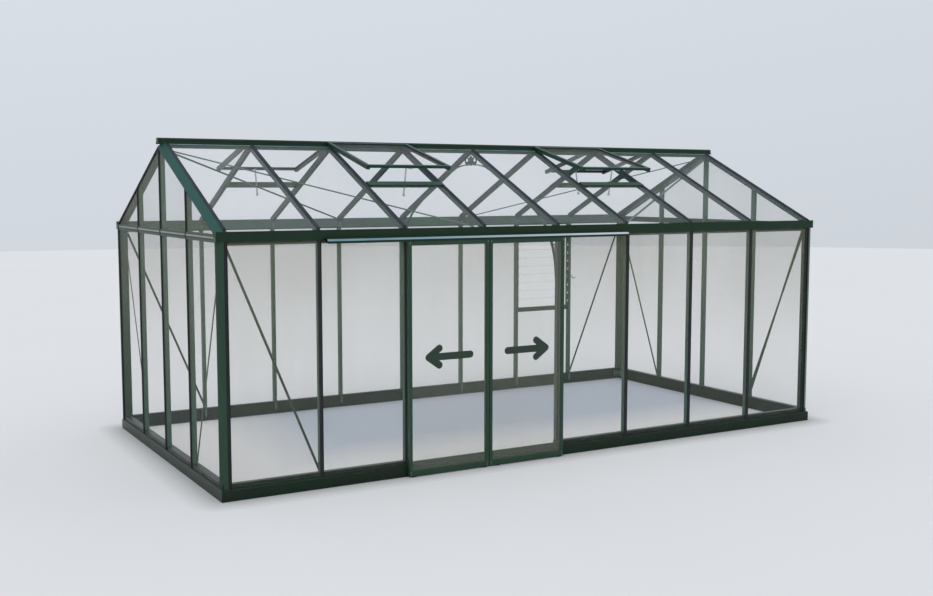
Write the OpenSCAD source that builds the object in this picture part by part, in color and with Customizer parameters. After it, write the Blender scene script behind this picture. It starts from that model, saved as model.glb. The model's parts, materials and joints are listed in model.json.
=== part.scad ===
// Aluminium-framed glass greenhouse: eight bays long, four bays wide, with a pair of sliding doors
// in one long wall, four top-hung roof vents and a louvre window in the other long wall.
// The frame stands on z = 0 with x along the ridge. The long wall with the doors faces -y.

/* [Bays] */
// Distance between glazing bars
bay = 740; // [700:10:780]
// Bays along each long wall
long_bays = 8; // [8:1:8]
// Bays across each gable
gable_bays = 4; // [4:1:4]

/* [Heights] */
// Top of the outer face of the base sill
sill_h = 90; // [70:5:100]
// Top of the sill's inner flange
flange_h = 125; // [110:5:140]
// Underside of the gutter
eaves_h = 1932; // [1800:4:2000]
// Height of the gutter's front face
gutter_face = 74; // [60:2:80]
// Height at which the two glass planes would meet over the ridge
ridge_h = 2705; // [2650:5:2760]

/* [Profiles] */
// Width of every glazing bar and of the strip over it
bar_w = 31; // [26:1:34]
// Depth of a glazing bar behind the glass
bar_d = 40; // [32:1:44]
// Thickness of the glass
glass_t = 4; // [3:1:4]
// Thickness of the rubber glazing strip
strip_t = 10; // [6:1:11]
// Thickness of the sheet metal in the gutter
sheet_t = 5; // [4:1:6]
// Width of a flat diagonal brace
brace_w = 20; // [12:1:24]
// Thickness of a flat diagonal brace
brace_t = 4; // [3:1:5]

/* [Doors] */
// Width of a door stile
stile_w = 26; // [20:1:30]
// Depth of the door frame
leaf_d = 38; // [34:1:42]
// Height of the door's bottom rail
bottom_rail_h = 42; // [36:1:50]
// Gap between a door and what it slides past
slide_gap = 5; // [5:1:7]

/* [Roof vents] */
// Length of a vent from the ridge to its free edge
vent_l = 866; // [820:2:880]
// Slope of the vents as they stand open, in degrees below level
vent_slope = 14.7; // [8:0.1:18]
// Distance from the ridge line down the slope to the rail that a vent closes on
vent_rail_s = 808; // [790:2:820]

/* [Louvre window] */
// Underside of the louvre window
louvre_z = 890; // [800:10:1000]
// Number of glass blades
blade_count = 10; // [8:1:10]
// Tilt of the blades from upright, in degrees
blade_tilt = 12; // [10:1:14]

/* [Hidden] */
$fn = 64;

// Distances are measured outward from the middle of the house: x along the ridge, out across it.
half_long = bay * long_bays / 2;          // first and last bar line of a long wall
half_gable = bay * gable_bays / 2;        // outer bar lines of a gable
glass_inset = 23;                         // outer sill face to outer glass face on the long wall
gable_inset = 12;                         // the same on the gable
corner_x = 72;                            // last bar line to the outer sill face, on the long wall
corner_out = 53;                          // the same on the gable
sill_x = half_long + corner_x;
sill_out = half_gable + corner_out;
glass_out = sill_out - glass_inset;       // outer face of a long wall's glass
glass_x = sill_x - gable_inset;           // outer face of a gable's glass
bar_out = glass_out - glass_t;            // outer face of a long wall's bars
bar_x = glass_x - glass_t;
bar_back_out = bar_out - bar_d;
bar_back_x = bar_x - bar_d;
sill_d = 73;                              // depth of the base sill
post_inset = 2;                           // sill face to corner post face on the gable
post_inset_out = 5;                       // the same on the long wall
post_x = sill_x - post_inset;
post_out = sill_out - post_inset_out;
slant_land = 3;                           // flat left beside a corner's slanted face
half_bar = bar_w / 2;
pane_gap = 6;                             // bar line to the edge of a pane
strip_clear = 1.5;                        // strip to the raised part of a corner profile
gable_strip_t = 8;                        // thickness of a gable's strips
bed = 0.1;                                // gap that keeps sloping faces from touching

// Eaves and gutter
beam_z = eaves_h - 15;                    // underside of the eaves beam, where the bars end
beam_in = bar_back_out - 11;              // inner face of the eaves beam and gutter
gutter_wall = 8;
gutter_out = sill_out - 8;
gutter_top = eaves_h + gutter_face;
gutter_back = gutter_top - 2;             // top of the gutter's inner wall, where the rafters sit
gutter_x = sill_x + 2;
gutter_bottom_t = 6;

// Roof: s runs down the slope from the ridge line and n stands off the outer glass face.
eaves_strip_out = 1495;
eaves_strip_z = 2016;
pitch = atan((ridge_h - eaves_strip_z) / eaves_strip_out);
roof_glass_out = 1500;
ridge_half = 12;
ridge_beam_z = 2656;
ridge_wing = 34;
ridge_cheek = 26;
ridge_top_h = 37;
ridge_x = sill_x + 3;
lip_n = -36;                              // lower edge of the verge rafter's outer lip
seat_n = -28;                             // top of the groove that holds the gable glass
verge_n = 8;                              // top face of the verge rafter
verge_out = gutter_out - sheet_t - 1;
gable_strip_n = 10;
rafter_end = eaves_strip_out - 3;         // where the rafters end over the gutter

// Gable transom
transom_z = [eaves_h - 7, eaves_h + 52];
transom_mid = (transom_z[0] + transom_z[1]) / 2;
transom_face = glass_x + 9;

// Doors: the leaves close bays 3 and 4 and slide out over bays 2 and 5.
door_mid = -bay;
door_half_gap = 3;
leaf_w = 746;
leaf_back = sill_out + slide_gap;
leaf_front = leaf_back + leaf_d;
leaf_z = [8, eaves_h - 26];
top_rail_h = 30;
leaf_glass_back = leaf_back + 26;
kick_h = 75;
kick_d = 14;
threshold_h = 40;
track_x = [door_mid - 1440, door_mid + 1440];
track_z = [eaves_h - 20, eaves_h + 12];
track_t = 4;
track_nose_h = 8;
track_bevel = 16;
track_back_top = eaves_h + 22;
track_front = leaf_front + 4;
ledge_d = 15;
ledge_z = track_z[0] + 3;
ledge_t = 3;
wheel_r = 10;
wheel_w = 12;
hanger_inset = 80;
hanger_w = 40;
hanger_t = 4;
house_shift = (track_front - sill_out) / 2;   // puts the middle of the whole outline on y = 0

// Vents: bay numbers run from 1 at the left end.
front_vents = [3, 6];
rear_vents = [2, 7];
vent_lap = 32;
vent_bar = 30;
vent_t = 24;
vent_skirt = 14;                          // how far a vent's side bars hang below its frame
vent_skirt_l = 60;                        // where the skirt begins, clear of the strips
vent_hinge = [ridge_cheek, 2723];
vent_rail_l = 70;
vent_rail_n = [-12, 15];
vent_rail_shift = 12;                     // the lip's offset along the ridge
vent_rail_end = 8;                        // bar line to the lip's end
stay_w = 14;
stay_t = 5;
stay_top = [752, 2504];
stay_foot = [700, 2265];
stay_shift = [22, -64];                   // off the middle of the vent, at the front and at the rear

// Louvre window
louvre_bay = 7;
louvre_rail = 50;
louvre_jamb = 14.5;
louvre_head = 20;
louvre_d = 30;
blade_l = 104;
lever_out = 1457;                         // the lever's inner face
lever_t = 4;
lever_plate_z = [1262, 1310];
lever_w = 8;
lever_path = [[-7, 1285], [27, 1297], [57, 1258], [91, 1265]];   // from the jamb's edge, and height

// Middle frame ornament
band_t = 8;
band_w = 24;
knee_r = 657;
knee_gap = 3;
knee_rings = [[33, 46], [23, 22]];            // angle above level and radius of each ring in the corner
pad_t = 7;
pad_l = 70;
arch_in_r = 1352;
arch_soffit = 2546;
arch_pad_s = 325;
arch_ring = [87.1, 35];                       // angle from level and radius of the rings beside it
palm_leaves = [[0, 76], [24, 66], [48, 46]];  // angle from upright and length of each leaf
palm_leaf_w = 17;
ring_w = 12;
ring_t = 5.5;
ring_sink = 3;                            // depth to which a ring runs into the arch

function line_x(i) = (i - long_bays / 2) * bay;
function line_out(j) = (j - gable_bays / 2) * bay;
// Height of the roof plane that stands n off the glass, at a distance out from the ridge line.
function roof_z(n, out) = ridge_h + n / cos(pitch) - abs(out) * tan(pitch);
// Point at s down the slope and n off the glass, as [out, z].
function roof_point(s, n) = [s * cos(pitch) + n * sin(pitch), ridge_h - s * sin(pitch) + n * cos(pitch)];
// Slab of roof between two offsets, cut upright at both ends.
function roof_band(out0, out1, n0, n1) =
    [[out0, roof_z(n0, out0)], [out1, roof_z(n0, out1)], [out1, roof_z(n1, out1)], [out0, roof_z(n1, out0)]];
// Point at l along an open vent and m above its middle plane, as [out, z].
function vent_point(l, m) =
    vent_hinge + [l * cos(vent_slope) + m * sin(vent_slope), -l * sin(vent_slope) + m * cos(vent_slope)];
function bay_is_in(b, list) = len([for (v = list) if (v == b) v]) > 0;

module green() color([0.16, 0.26, 0.2]) children();
module rubber() color([0.12, 0.12, 0.14]) children();
module clear_glass() color([0.8, 0.85, 0.86, 0.35]) children();
module bright_metal() color([0.7, 0.73, 0.75]) children();

// Places a piece of the whole house.
module housed() translate([0, house_shift, 0]) children();
// Draws a piece of the rear half on the rear side (1) or the front side (-1).
module on_side(side) mirror([0, side < 0 ? 1 : 0, 0]) children();
// Draws a piece of the right end on the right (1) or the left (-1).
module on_end(end) mirror([end < 0 ? 1 : 0, 0, 0]) children();
// Extrudes an [out, z] outline from x0 to x1.
module along_x(x0, x1, outline)
    translate([x0, 0, 0]) rotate([90, 0, 90]) linear_extrude(x1 - x0) polygon(outline);
// Extrudes an [x, z] outline from y0 to y1.
module along_y(y0, y1, outline)
    translate([0, y1, 0]) rotate([90, 0, 0]) linear_extrude(y1 - y0) polygon(outline);
module block(x, y, z)
    translate([x[0], y[0], z[0]]) cube([x[1] - x[0], y[1] - y[0], z[1] - z[0]]);

// ---- base ----

// Sill section, measured back from the outer face.
function sill_outline(face, inset) = [
    [face - sill_d, 0], [face, 0], [face, sill_h - 6], [face - 6, sill_h],
    [face - inset - glass_t, sill_h], [face - inset - glass_t, flange_h], [face - sill_d, flange_h],
];

// Plan of one mitred side: the long side lies on the outer face.
module mitre_long(x0, x1) linear_extrude(flange_h) polygon([
    [max(x0, -sill_x), sill_out], [min(x1, sill_x), sill_out],
    [min(x1, sill_x - sill_d), sill_out - sill_d], [max(x0, -sill_x + sill_d), sill_out - sill_d],
]);

module long_sill(side, x0, x1) green() housed() on_side(side)
    intersection() {
        along_x(x0, x1, sill_outline(sill_out, glass_inset));
        mitre_long(x0, x1);
    }

module gable_sill(end) green() housed() on_end(end)
    intersection() {
        along_y(-sill_out, sill_out, sill_outline(sill_x, gable_inset));
        linear_extrude(flange_h) polygon([
            [sill_x, -sill_out], [sill_x, sill_out],
            [sill_x - sill_d, sill_out - sill_d], [sill_x - sill_d, -sill_out + sill_d],
        ]);
    }

door_x = [door_mid - bay + half_bar, door_mid + bay - half_bar];   // between the door jambs

module base_front_left() long_sill(-1, -sill_x, door_x[0]);
module base_front_right() long_sill(-1, door_x[1], sill_x);
module base_rear() long_sill(1, -sill_x, sill_x);
module base_left() gable_sill(-1);
module base_right() gable_sill(1);

module door_threshold() green() housed() on_side(-1)
    block(door_x, [sill_out - sill_d, sill_out], [0, threshold_h]);

// ---- walls ----

strip_edge = half_long + half_bar + strip_clear;     // where the corner post's front face begins
strip_edge_out = half_gable + half_bar;

// Area cut away outside the slanted face of a corner, which runs from height a at the gable to b on the wall.
module slant_waste_2d(a, b) polygon([
    [post_x, a + slant_land], [strip_edge + slant_land, b],
    [strip_edge + slant_land, b + sheet_t], [post_x + sheet_t, b + sheet_t],
    [post_x + sheet_t, a + slant_land],
]);

module corner_post() difference() {
    union() {
        translate([0, 0, flange_h]) linear_extrude(eaves_h - flange_h) polygon([
            [post_x, post_out], [strip_edge, post_out], [strip_edge, bar_out],
            [half_long - half_bar, bar_out], [half_long - half_bar, bar_back_out],
            [bar_back_x, bar_back_out], [bar_back_x, half_gable - half_bar],
            [bar_x, half_gable - half_bar], [bar_x, strip_edge_out], [post_x, strip_edge_out],
        ]);
        translate([0, 0, sill_h]) linear_extrude(flange_h - sill_h) polygon([
            [post_x, post_out], [strip_edge, post_out], [strip_edge, bar_out],
            [sill_x - (sill_out - bar_out), bar_out], [bar_x, sill_out - (sill_x - bar_x)],
            [bar_x, strip_edge_out], [post_x, strip_edge_out],
        ]);
    }
    linear_extrude(eaves_h + sheet_t) slant_waste_2d(strip_edge_out, post_out);
}

module corner_posts() green() housed()
    for (side = [-1, 1], end = [-1, 1]) on_side(side) on_end(end) corner_post();

module mullions(side, lines) green() housed() on_side(side)
    for (i = lines)
        block([line_x(i) - half_bar, line_x(i) + half_bar], [bar_back_out, bar_out], [flange_h, beam_z]);

module front_mullions() mullions(-1, [1, 2, 4, 5, 6, 7]);
module rear_mullions() mullions(1, [1:7]);

// Upright of a gable, cut to the slope of the roof plane n below the glass.
module gable_upright(line, x0, x1, z0, n) {
    a = line - half_bar;
    b = line + half_bar;
    top = line == 0
        ? [[b, roof_z(n, b)], [0, roof_z(n, 0)], [a, roof_z(n, a)]]
        : [[b, roof_z(n, b)], [a, roof_z(n, a)]];
    along_x(x0, x1, concat([[a, z0], [b, z0]], top));
}

module gable_mullions() green() housed()
    for (end = [-1, 1], j = [1:gable_bays - 1])
        on_end(end) gable_upright(line_out(j), bar_back_x, bar_x, flange_h, -glass_t - bar_d - bed);

module gable_transoms() green() housed()
    for (end = [-1, 1], j = [0:gable_bays - 1]) on_end(end)
        along_y(
            j == 0 ? -beam_in : line_out(j) + half_bar,
            j == gable_bays - 1 ? beam_in : line_out(j + 1) - half_bar,
            [
                [bar_back_x + 5, transom_z[0]], [bar_x, transom_z[0]], [bar_x, transom_z[0] + 8],
                [glass_x, transom_z[0] + 8], [glass_x, transom_z[0]], [transom_face - 3, transom_z[0]],
                [transom_face, transom_mid - 9], [transom_face - 7, transom_mid],
                [transom_face, transom_mid + 9],
                [transom_face - 3, transom_z[1]], [glass_x, transom_z[1]], [glass_x, transom_z[1] - 8],
                [bar_x, transom_z[1] - 8], [bar_x, transom_z[1]], [bar_back_x + 5, transom_z[1]],
            ]);

// ---- eaves ----

module gutter(side) green() housed() on_side(side) {
    inner = half_long - half_bar;
    along_x(-inner, inner, [
        [beam_in, beam_z], [bar_out, beam_z], [bar_out, eaves_h], [gutter_out, eaves_h],
        [gutter_out, gutter_top],
        [gutter_out - sheet_t, gutter_top], [gutter_out - sheet_t, eaves_h + gutter_bottom_t],
        [beam_in + gutter_wall, eaves_h + gutter_bottom_t],
        [beam_in + gutter_wall, gutter_back], [beam_in, gutter_back],
    ]);
    for (end = [-1, 1]) on_end(end) {
        along_x(inner, gutter_x, [
            [beam_in, eaves_h], [gutter_out, eaves_h], [gutter_out, gutter_top],
            [gutter_out - sheet_t, gutter_top],
            [gutter_out - sheet_t, eaves_h + gutter_bottom_t],
            [beam_in + gutter_wall, eaves_h + gutter_bottom_t],
            [beam_in + gutter_wall, roof_z(-glass_t - bar_d, beam_in + gutter_wall)],
            [beam_in, roof_z(-glass_t - bar_d, beam_in)],
        ]);
        along_x(gutter_x - gutter_wall, gutter_x, [
            [beam_in, eaves_h], [gutter_out, eaves_h], [gutter_out, roof_z(lip_n, gutter_out)],
            [beam_in, roof_z(lip_n, beam_in)],
        ]);
    }
}

module front_gutter() gutter(-1);
module rear_gutter() gutter(1);

// ---- roof ----

module ridge_beam() green() housed()
    along_x(-half_long + half_bar, half_long - half_bar, [
        [-ridge_half, ridge_beam_z], [ridge_half, ridge_beam_z], [ridge_half, roof_z(0, ridge_half)],
        [0, ridge_h], [-ridge_half, roof_z(0, ridge_half)],
    ]);

module ridge_cap() green() housed() {
    half = [
        [0, roof_z(bed, 0)], [ridge_wing, roof_z(bed, ridge_wing)], [ridge_wing, ridge_h - 5],
        [ridge_cheek, ridge_h + 1], [ridge_cheek, ridge_h + ridge_top_h - 10],
        [ridge_cheek - 12, ridge_h + ridge_top_h],
    ];
    other = [for (i = [len(half) - 1:-1:1]) [-half[i][0], half[i][1]]];
    along_x(-ridge_x, ridge_x, concat(half, other));
}

// Corner profile along the verge: it carries the roof glass on one side and the gable glass on the other, and
// its outer edge is slanted as the corner post's is.
module verge_rafter() difference() {
    verge_square();
    translate([0, 0, ridge_h]) rotate([-pitch, 0, 0]) translate([0, 2 * half_gable, 0]) rotate([90, 0, 0])
        linear_extrude(3 * half_gable) slant_waste_2d(lip_n, verge_n);
}
module verge_square() {
    back_n = -glass_t - bar_d;
    along_x(half_long - half_bar, strip_edge, roof_band(0, verge_out, -glass_t - bed, back_n));
    along_x(strip_edge, bar_x, roof_band(0, verge_out, 0, back_n));
    along_x(bar_x, glass_x, roof_band(0, verge_out, 0, seat_n));
    along_x(glass_x, post_x, roof_band(0, verge_out, 0, lip_n + bed));
    along_x(strip_edge, post_x, roof_band(ridge_wing, verge_out, verge_n, 0));
}

module rafters(side) green() housed() on_side(side) {
    top_n = -glass_t - bed;
    back_n = -glass_t - bar_d;
    for (i = [1:long_bays - 1])
        along_x(line_x(i) - half_bar, line_x(i) + half_bar, [
            [ridge_half, roof_z(top_n, ridge_half)], [rafter_end, roof_z(top_n, rafter_end)],
            [rafter_end, gutter_back], [beam_in, gutter_back],
            [beam_in, roof_z(back_n, beam_in)], [ridge_half, roof_z(back_n, ridge_half)],
        ]);
    for (end = [-1, 1]) on_end(end) verge_rafter();
}

module front_rafters() rafters(-1);
module rear_rafters() rafters(1);

// ---- vents ----

function bay_left(b) = line_x(b - 1);

// Slice of an open vent from l0 to l1 along it, as an [out, z] outline.
function vent_slice(l0, l1, half_t) =
    [vent_point(l0, half_t), vent_point(l1, half_t), vent_point(l1, -half_t), vent_point(l0, -half_t)];
// The same, cut upright against the ridge cap.
function vent_slice_at_ridge(l1, half_t) = [
    [ridge_cheek, vent_hinge[1] + half_t / cos(vent_slope)], vent_point(l1, half_t), vent_point(l1, -half_t),
    [ridge_cheek, vent_hinge[1] - half_t / cos(vent_slope)],
];

module vent_frame(b) {
    x0 = bay_left(b) - vent_lap;
    x1 = bay_left(b + 1) + vent_lap;
    for (x = [x0, x1 - vent_bar]) along_x(x, x + vent_bar, [
        [ridge_cheek, vent_hinge[1] + vent_t / 2 / cos(vent_slope)], vent_point(vent_l, vent_t / 2),
        vent_point(vent_l, -vent_t / 2 - vent_skirt),
        vent_point(vent_skirt_l + vent_skirt, -vent_t / 2 - vent_skirt),
        vent_point(vent_skirt_l, -vent_t / 2), [ridge_cheek, vent_hinge[1] - vent_t / 2 / cos(vent_slope)],
    ]);
    along_x(x0, x1, vent_slice_at_ridge(vent_bar, vent_t / 2));
    along_x(x0, x1, vent_slice(vent_l - vent_bar, vent_l, vent_t / 2));
}

module front_vent_frames() green() housed() on_side(-1) for (b = front_vents) vent_frame(b);
module rear_vent_frames() green() housed() on_side(1) for (b = rear_vents) vent_frame(b);

// Runs its children at every vent. $b is the bay. $facing is 1 at the front and -1 at the rear, where the
// same part is turned half round.
module at_vents() {
    on_side(-1) for ($b = front_vents) {
        $facing = 1;
        children();
    }
    on_side(1) for ($b = rear_vents) {
        $facing = -1;
        children();
    }
}

module vent_glass() clear_glass() housed() at_vents()
    along_x(bay_left($b) - vent_lap + vent_bar, bay_left($b + 1) + vent_lap - vent_bar,
        vent_slice(vent_bar + bed, vent_l - vent_bar - bed, glass_t / 2));

// Cross rail between two rafters, with a lip that laps over one strip.
module vent_rails() green() housed() at_vents() {
    s = [vent_rail_s, vent_rail_s + vent_rail_l];
    lip_x = bay_left($b) + $facing * vent_rail_shift;
    along_x(bay_left($b) + half_bar, bay_left($b + 1) - half_bar, [
        roof_point(s[0], vent_rail_n[1]), roof_point(s[1], vent_rail_n[1]),
        roof_point(s[1], vent_rail_n[0]), roof_point(s[0], vent_rail_n[0]),
    ]);
    along_x(lip_x + vent_rail_end, lip_x + bay - vent_rail_end, [
        roof_point(s[0], vent_rail_n[1]), roof_point(s[1], vent_rail_n[1]),
        roof_point(s[1], strip_t + bed), roof_point(s[0], strip_t + bed),
    ]);
}

// Peg stay hanging from the vent's free edge past its rail, with a knob at the foot.
module vent_stays() bright_metal() housed() at_vents() {
    mid = bay_left($b) + bay / 2 + ($facing > 0 ? stay_shift[0] : stay_shift[1]);
    along_x(mid - stay_w / 2, mid + stay_w / 2, [
        stay_top, stay_top + [stay_t, 0], stay_foot + [stay_t, 0], stay_foot,
    ]);
    along_x(mid - stay_w, mid + stay_w, [
        stay_foot + [-8, 0], stay_foot + [12, 0], stay_foot + [12, 18], stay_foot + [-8, 18],
    ]);
    along_x(mid - stay_w, mid + stay_w, [
        stay_top + [-2, -8], vent_point(vent_l - vent_bar, -vent_t / 2) + [2, -10],
        vent_point(vent_l - vent_bar, -vent_t / 2) + [2, -1.5], stay_top + [-2, 4],
    ]);
}

// ---- middle frame ----

knee_centre_out = bar_back_out - knee_gap - knee_r;
knee_centre_z = roof_z(-glass_t - bar_d, knee_centre_out) - (knee_r + knee_gap) / cos(pitch);

// Upright plate in a frame's plane: a flat shape drawn in [out, z], as thick as w along x.
module plate(w) translate([-w / 2, 0, 0]) rotate([90, 0, 90]) linear_extrude(w) children();

module annulus_2d(r, thick) difference() {
    circle(r = r, $fn = 128);
    circle(r = r - thick, $fn = 128);
}

// Ring that stands on the outside of an arch of radius r about c, at an angle from level.
module ring_on_arch(c, r, angle, ring_r, thick)
    plate(ring_w) translate(c + (r + ring_r - ring_sink) * [cos(angle), sin(angle)])
        annulus_2d(ring_r, thick);

// Region of a cross-section that lies under the rafters and inside the posts.
module under_rafters_2d() polygon([
    [0, 0], [bar_back_out, 0], [bar_back_out, roof_z(-glass_t - bar_d, bar_back_out)],
    [0, roof_z(-glass_t - bar_d, 0)],
]);

// Flat pad against the underside of a rafter, from s0 to s1 down the slope.
module rafter_pad(s0, s1) plate(band_w) {
    n = -glass_t - bar_d;
    polygon([roof_point(s0, n), roof_point(s1, n), roof_point(s1, n - pad_t), roof_point(s0, n - pad_t)]);
}

// Quarter arch between an upright and the rafter over it, with two rings in the corner.
module knee_brace() {
    c = [knee_centre_out, knee_centre_z];
    foot_z = c[1] - 20;
    plate(band_w) intersection() {
        translate(c) annulus_2d(knee_r, band_t);
        under_rafters_2d();
        polygon([c, c + [2 * knee_r, 0], c + 2 * knee_r * [1, 1], c + 2 * knee_r * [sin(pitch), cos(pitch)]]);
    }
    plate(band_w) translate([bar_back_out - pad_t, foot_z]) square([pad_t, pad_l]);
    s_end = knee_centre_out / cos(pitch) + (knee_r + knee_gap + glass_t + bar_d) * tan(pitch);
    rafter_pad(s_end - 60, s_end + 25);
    for (g = knee_rings) ring_on_arch(c, knee_r, g[0], g[1], ring_t);
}

module knee_braces() green() housed() for (side = [-1, 1]) on_side(side) knee_brace();

// Flat arch under the ridge with a palmette on its crown between two rings.
module ridge_arch() green() housed() {
    c = [0, arch_soffit - arch_in_r];
    r = arch_in_r + band_t;
    for (side = [-1, 1]) on_side(side) {
        plate(band_w) intersection() {
            translate(c) annulus_2d(r, band_t);
            under_rafters_2d();
            translate([0, arch_soffit - 200]) square([600, 400]);
        }
        rafter_pad(arch_pad_s, arch_pad_s + pad_l);
        ring_on_arch(c, r, arch_ring[0], arch_ring[1], ring_t);
        for (leaf = palm_leaves)
            plate(ring_w) translate([0, arch_soffit + ring_sink]) rotate([0, 0, -leaf[0]]) {
                translate([-palm_leaf_w / 2, 0]) square([palm_leaf_w, leaf[1]]);
                translate([0, leaf[1]]) circle(d = palm_leaf_w);
            }
    }
}

// ---- diagonal braces ----

// Ends of a brace: [along the wall, height] on a wall, and [along the ridge, down the slope] on the roof.
wall_brace_ends = [[half_long - 7, beam_z - 5], [half_long - bay + 3, flange_h + 5]];
gable_brace_ends = [[half_gable - 22, beam_z - 22], [half_gable - bay + 2, flange_h + 14]];
roof_brace_ends = [[half_long - 10, 60], [half_long - 3 * bay + 55, 1570]];

// Flat bar between two points of a plane, drawn as a 2D outline with square ends.
module bar_2d(p, q, w) {
    d = (q - p) / norm(q - p);
    side = [-d[1], d[0]] * w / 2;
    polygon([p + side, q + side, q - side, p - side]);
}
module brace_2d(ends) bar_2d(ends[0], ends[1], brace_w);

module wall_braces() green() housed()
    for (side = [-1, 1], end = [-1, 1]) on_side(side) on_end(end)
        translate([0, bar_back_out, 0]) rotate([90, 0, 0]) linear_extrude(brace_t)
            brace_2d(wall_brace_ends);

module gable_braces() green() housed()
    for (side = [-1, 1], end = [-1, 1]) on_side(side) on_end(end)
        translate([bar_back_x - brace_t, 0, 0]) rotate([90, 0, 90]) linear_extrude(brace_t)
            brace_2d(gable_brace_ends);

module roof_braces() green() housed()
    for (side = [-1, 1], end = [-1, 1]) on_side(side) on_end(end)
        translate([0, 0, ridge_h]) rotate([-pitch, 0, 0])
            translate([0, 0, -glass_t - bar_d - brace_t]) linear_extrude(brace_t)
                brace_2d(roof_brace_ends);

// ---- glass ----

function pane_x(b) = [line_x(b - 1) + pane_gap, line_x(b) - pane_gap];

module wall_panes(side, bays) on_side(side)
    for (b = bays) block(pane_x(b), [bar_out, glass_out], [sill_h, eaves_h - 1]);

module front_wall_glass() clear_glass() housed() wall_panes(-1, [1, 2, 5, 6, 7, 8]);

module rear_wall_glass() clear_glass() housed() {
    wall_panes(1, [for (b = [1:long_bays]) if (b != louvre_bay) b]);
    block(pane_x(louvre_bay), [bar_out, glass_out], [sill_h, louvre_z]);
}

module gable_panes(end) clear_glass() housed() on_end(end)
    for (j = [0:gable_bays - 1]) {
        a = line_out(j) + pane_gap;
        b = line_out(j + 1) - pane_gap;
        block([bar_x, glass_x], [a, b], [sill_h, eaves_h - 1]);
        low = transom_z[1] - 8;
        a2 = max(a, -beam_in);
        b2 = min(b, beam_in);
        top_n = seat_n - 2;
        along_x(bar_x, glass_x, [[a2, low], [b2, low], [b2, roof_z(top_n, b2)], [a2, roof_z(top_n, a2)]]);
    }

module left_gable_glass() gable_panes(-1);
module right_gable_glass() gable_panes(1);

module roof_panes(side, vents) clear_glass() housed() on_side(side)
    for (b = [1:long_bays]) {
        start = vent_rail_s + vent_rail_l + bed;
        outline = bay_is_in(b, vents)
            ? [roof_point(start, 0), [roof_glass_out, roof_z(0, roof_glass_out)],
               [roof_glass_out, roof_z(-glass_t, roof_glass_out)], roof_point(start, -glass_t)]
            : roof_band(ridge_half + 2, roof_glass_out, 0, -glass_t);
        along_x(pane_x(b)[0], pane_x(b)[1], outline);
    }

module front_roof_glass() roof_panes(-1, front_vents);
module rear_roof_glass() roof_panes(1, rear_vents);

// ---- glazing strips ----

// Strip section with eased outer edges, as [across, off] about a bar line.
function strip_outline(line, face) = [
    [line - half_bar, face], [line + half_bar, face], [line + half_bar, face + strip_t - 3],
    [line + half_bar - 4, face + strip_t], [line - half_bar + 4, face + strip_t],
    [line - half_bar, face + strip_t - 3],
];

module wall_strips() rubber() housed()
    for (side = [-1, 1]) on_side(side)
        for (i = side < 0 ? [0, 1, 2, 4, 5, 6, 7, 8] : [0:long_bays])
            translate([0, 0, sill_h]) linear_extrude(eaves_h - sill_h)
                polygon(strip_outline(line_x(i), glass_out));

module gable_strips() rubber() housed() {
    outer = glass_x + gable_strip_t;
    for (end = [-1, 1]) on_end(end) {
        for (side = [-1, 1]) on_side(side) {
            block([glass_x, outer], [half_gable - half_bar, half_gable + half_bar], [sill_h, eaves_h]);
            along_x(glass_x, outer, roof_band(bed, beam_in, lip_n, lip_n - gable_strip_n));
        }
        for (j = [1:gable_bays - 1])
            gable_upright(line_out(j), glass_x, outer, sill_h, lip_n - gable_strip_n - bed);
    }
}

module roof_strips() rubber() housed()
    for (side = [-1, 1]) on_side(side)
        for (i = [0:long_bays])
            along_x(line_x(i) - half_bar, line_x(i) + half_bar,
                roof_band(ridge_wing, eaves_strip_out, strip_t, bed));

// ---- louvre window ----

louvre_x = [line_x(louvre_bay - 1) + half_bar, line_x(louvre_bay) - half_bar];

module louvre_frame() green() housed() difference() {
    block(louvre_x, [glass_out - louvre_d, glass_out], [louvre_z, beam_z]);
    block([louvre_x[0] + louvre_jamb, louvre_x[1] - louvre_jamb], [glass_out - louvre_d - 1, glass_out + 1],
        [louvre_z + louvre_rail, beam_z - louvre_head]);
}

// The blades share the height between the two rails, and each laps over the next.
module louvre_blades() clear_glass() housed() {
    low = louvre_z + louvre_rail + bed;
    high = beam_z - louvre_head - bed;
    blade_high = blade_l * cos(blade_tilt) + glass_t * sin(blade_tilt);
    step = (high - low - blade_high) / (blade_count - 1);
    for (k = [0:blade_count - 1])
        translate([louvre_x[0] + louvre_jamb, glass_out - louvre_d / 2, low + blade_high / 2 + k * step])
            rotate([blade_tilt, 0, 0])
                translate([0, -glass_t / 2, -blade_l / 2])
                    cube([louvre_x[1] - louvre_x[0] - 2 * louvre_jamb, glass_t, blade_l]);
}

// Cranked lever on the inside of the right jamb. It reaches past the bar beside it.
module louvre_handle() bright_metal() housed() {
    path = [for (p = lever_path) [louvre_x[1] + p[0], p[1]]];
    block([louvre_x[1] - 13, louvre_x[1] - 1], [lever_out, glass_out - louvre_d], lever_plate_z);
    translate([0, lever_out + lever_t, 0]) rotate([90, 0, 0]) linear_extrude(lever_t)
        for (i = [1:len(path) - 1]) bar_2d(path[i - 1], path[i], lever_w);
}

// ---- doors ----

// Hanging track: a back plate on the gutter, a top, a bevelled nose and the ledge that the wheels run on.
module door_track() green() housed() on_side(-1) {
    back = gutter_out;
    nose_z = track_z[0] + track_nose_h;
    along_x(track_x[0], track_x[1], [
        [back, track_z[1] - track_t], [track_front - track_bevel - track_t, track_z[1] - track_t],
        [track_front - track_bevel - track_t, nose_z + track_bevel - track_t],
        [track_front - track_t, nose_z],
        [track_front - track_t, track_z[0]], [track_front, track_z[0]], [track_front, nose_z],
        [track_front - track_bevel, nose_z + track_bevel], [track_front - track_bevel, track_z[1]],
        [back, track_z[1]],
    ]);
    block(track_x, [back, back + track_t], [track_z[0], track_back_top]);
    block(track_x, [back, back + track_t + ledge_d], [ledge_z, ledge_z + ledge_t]);
}

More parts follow.
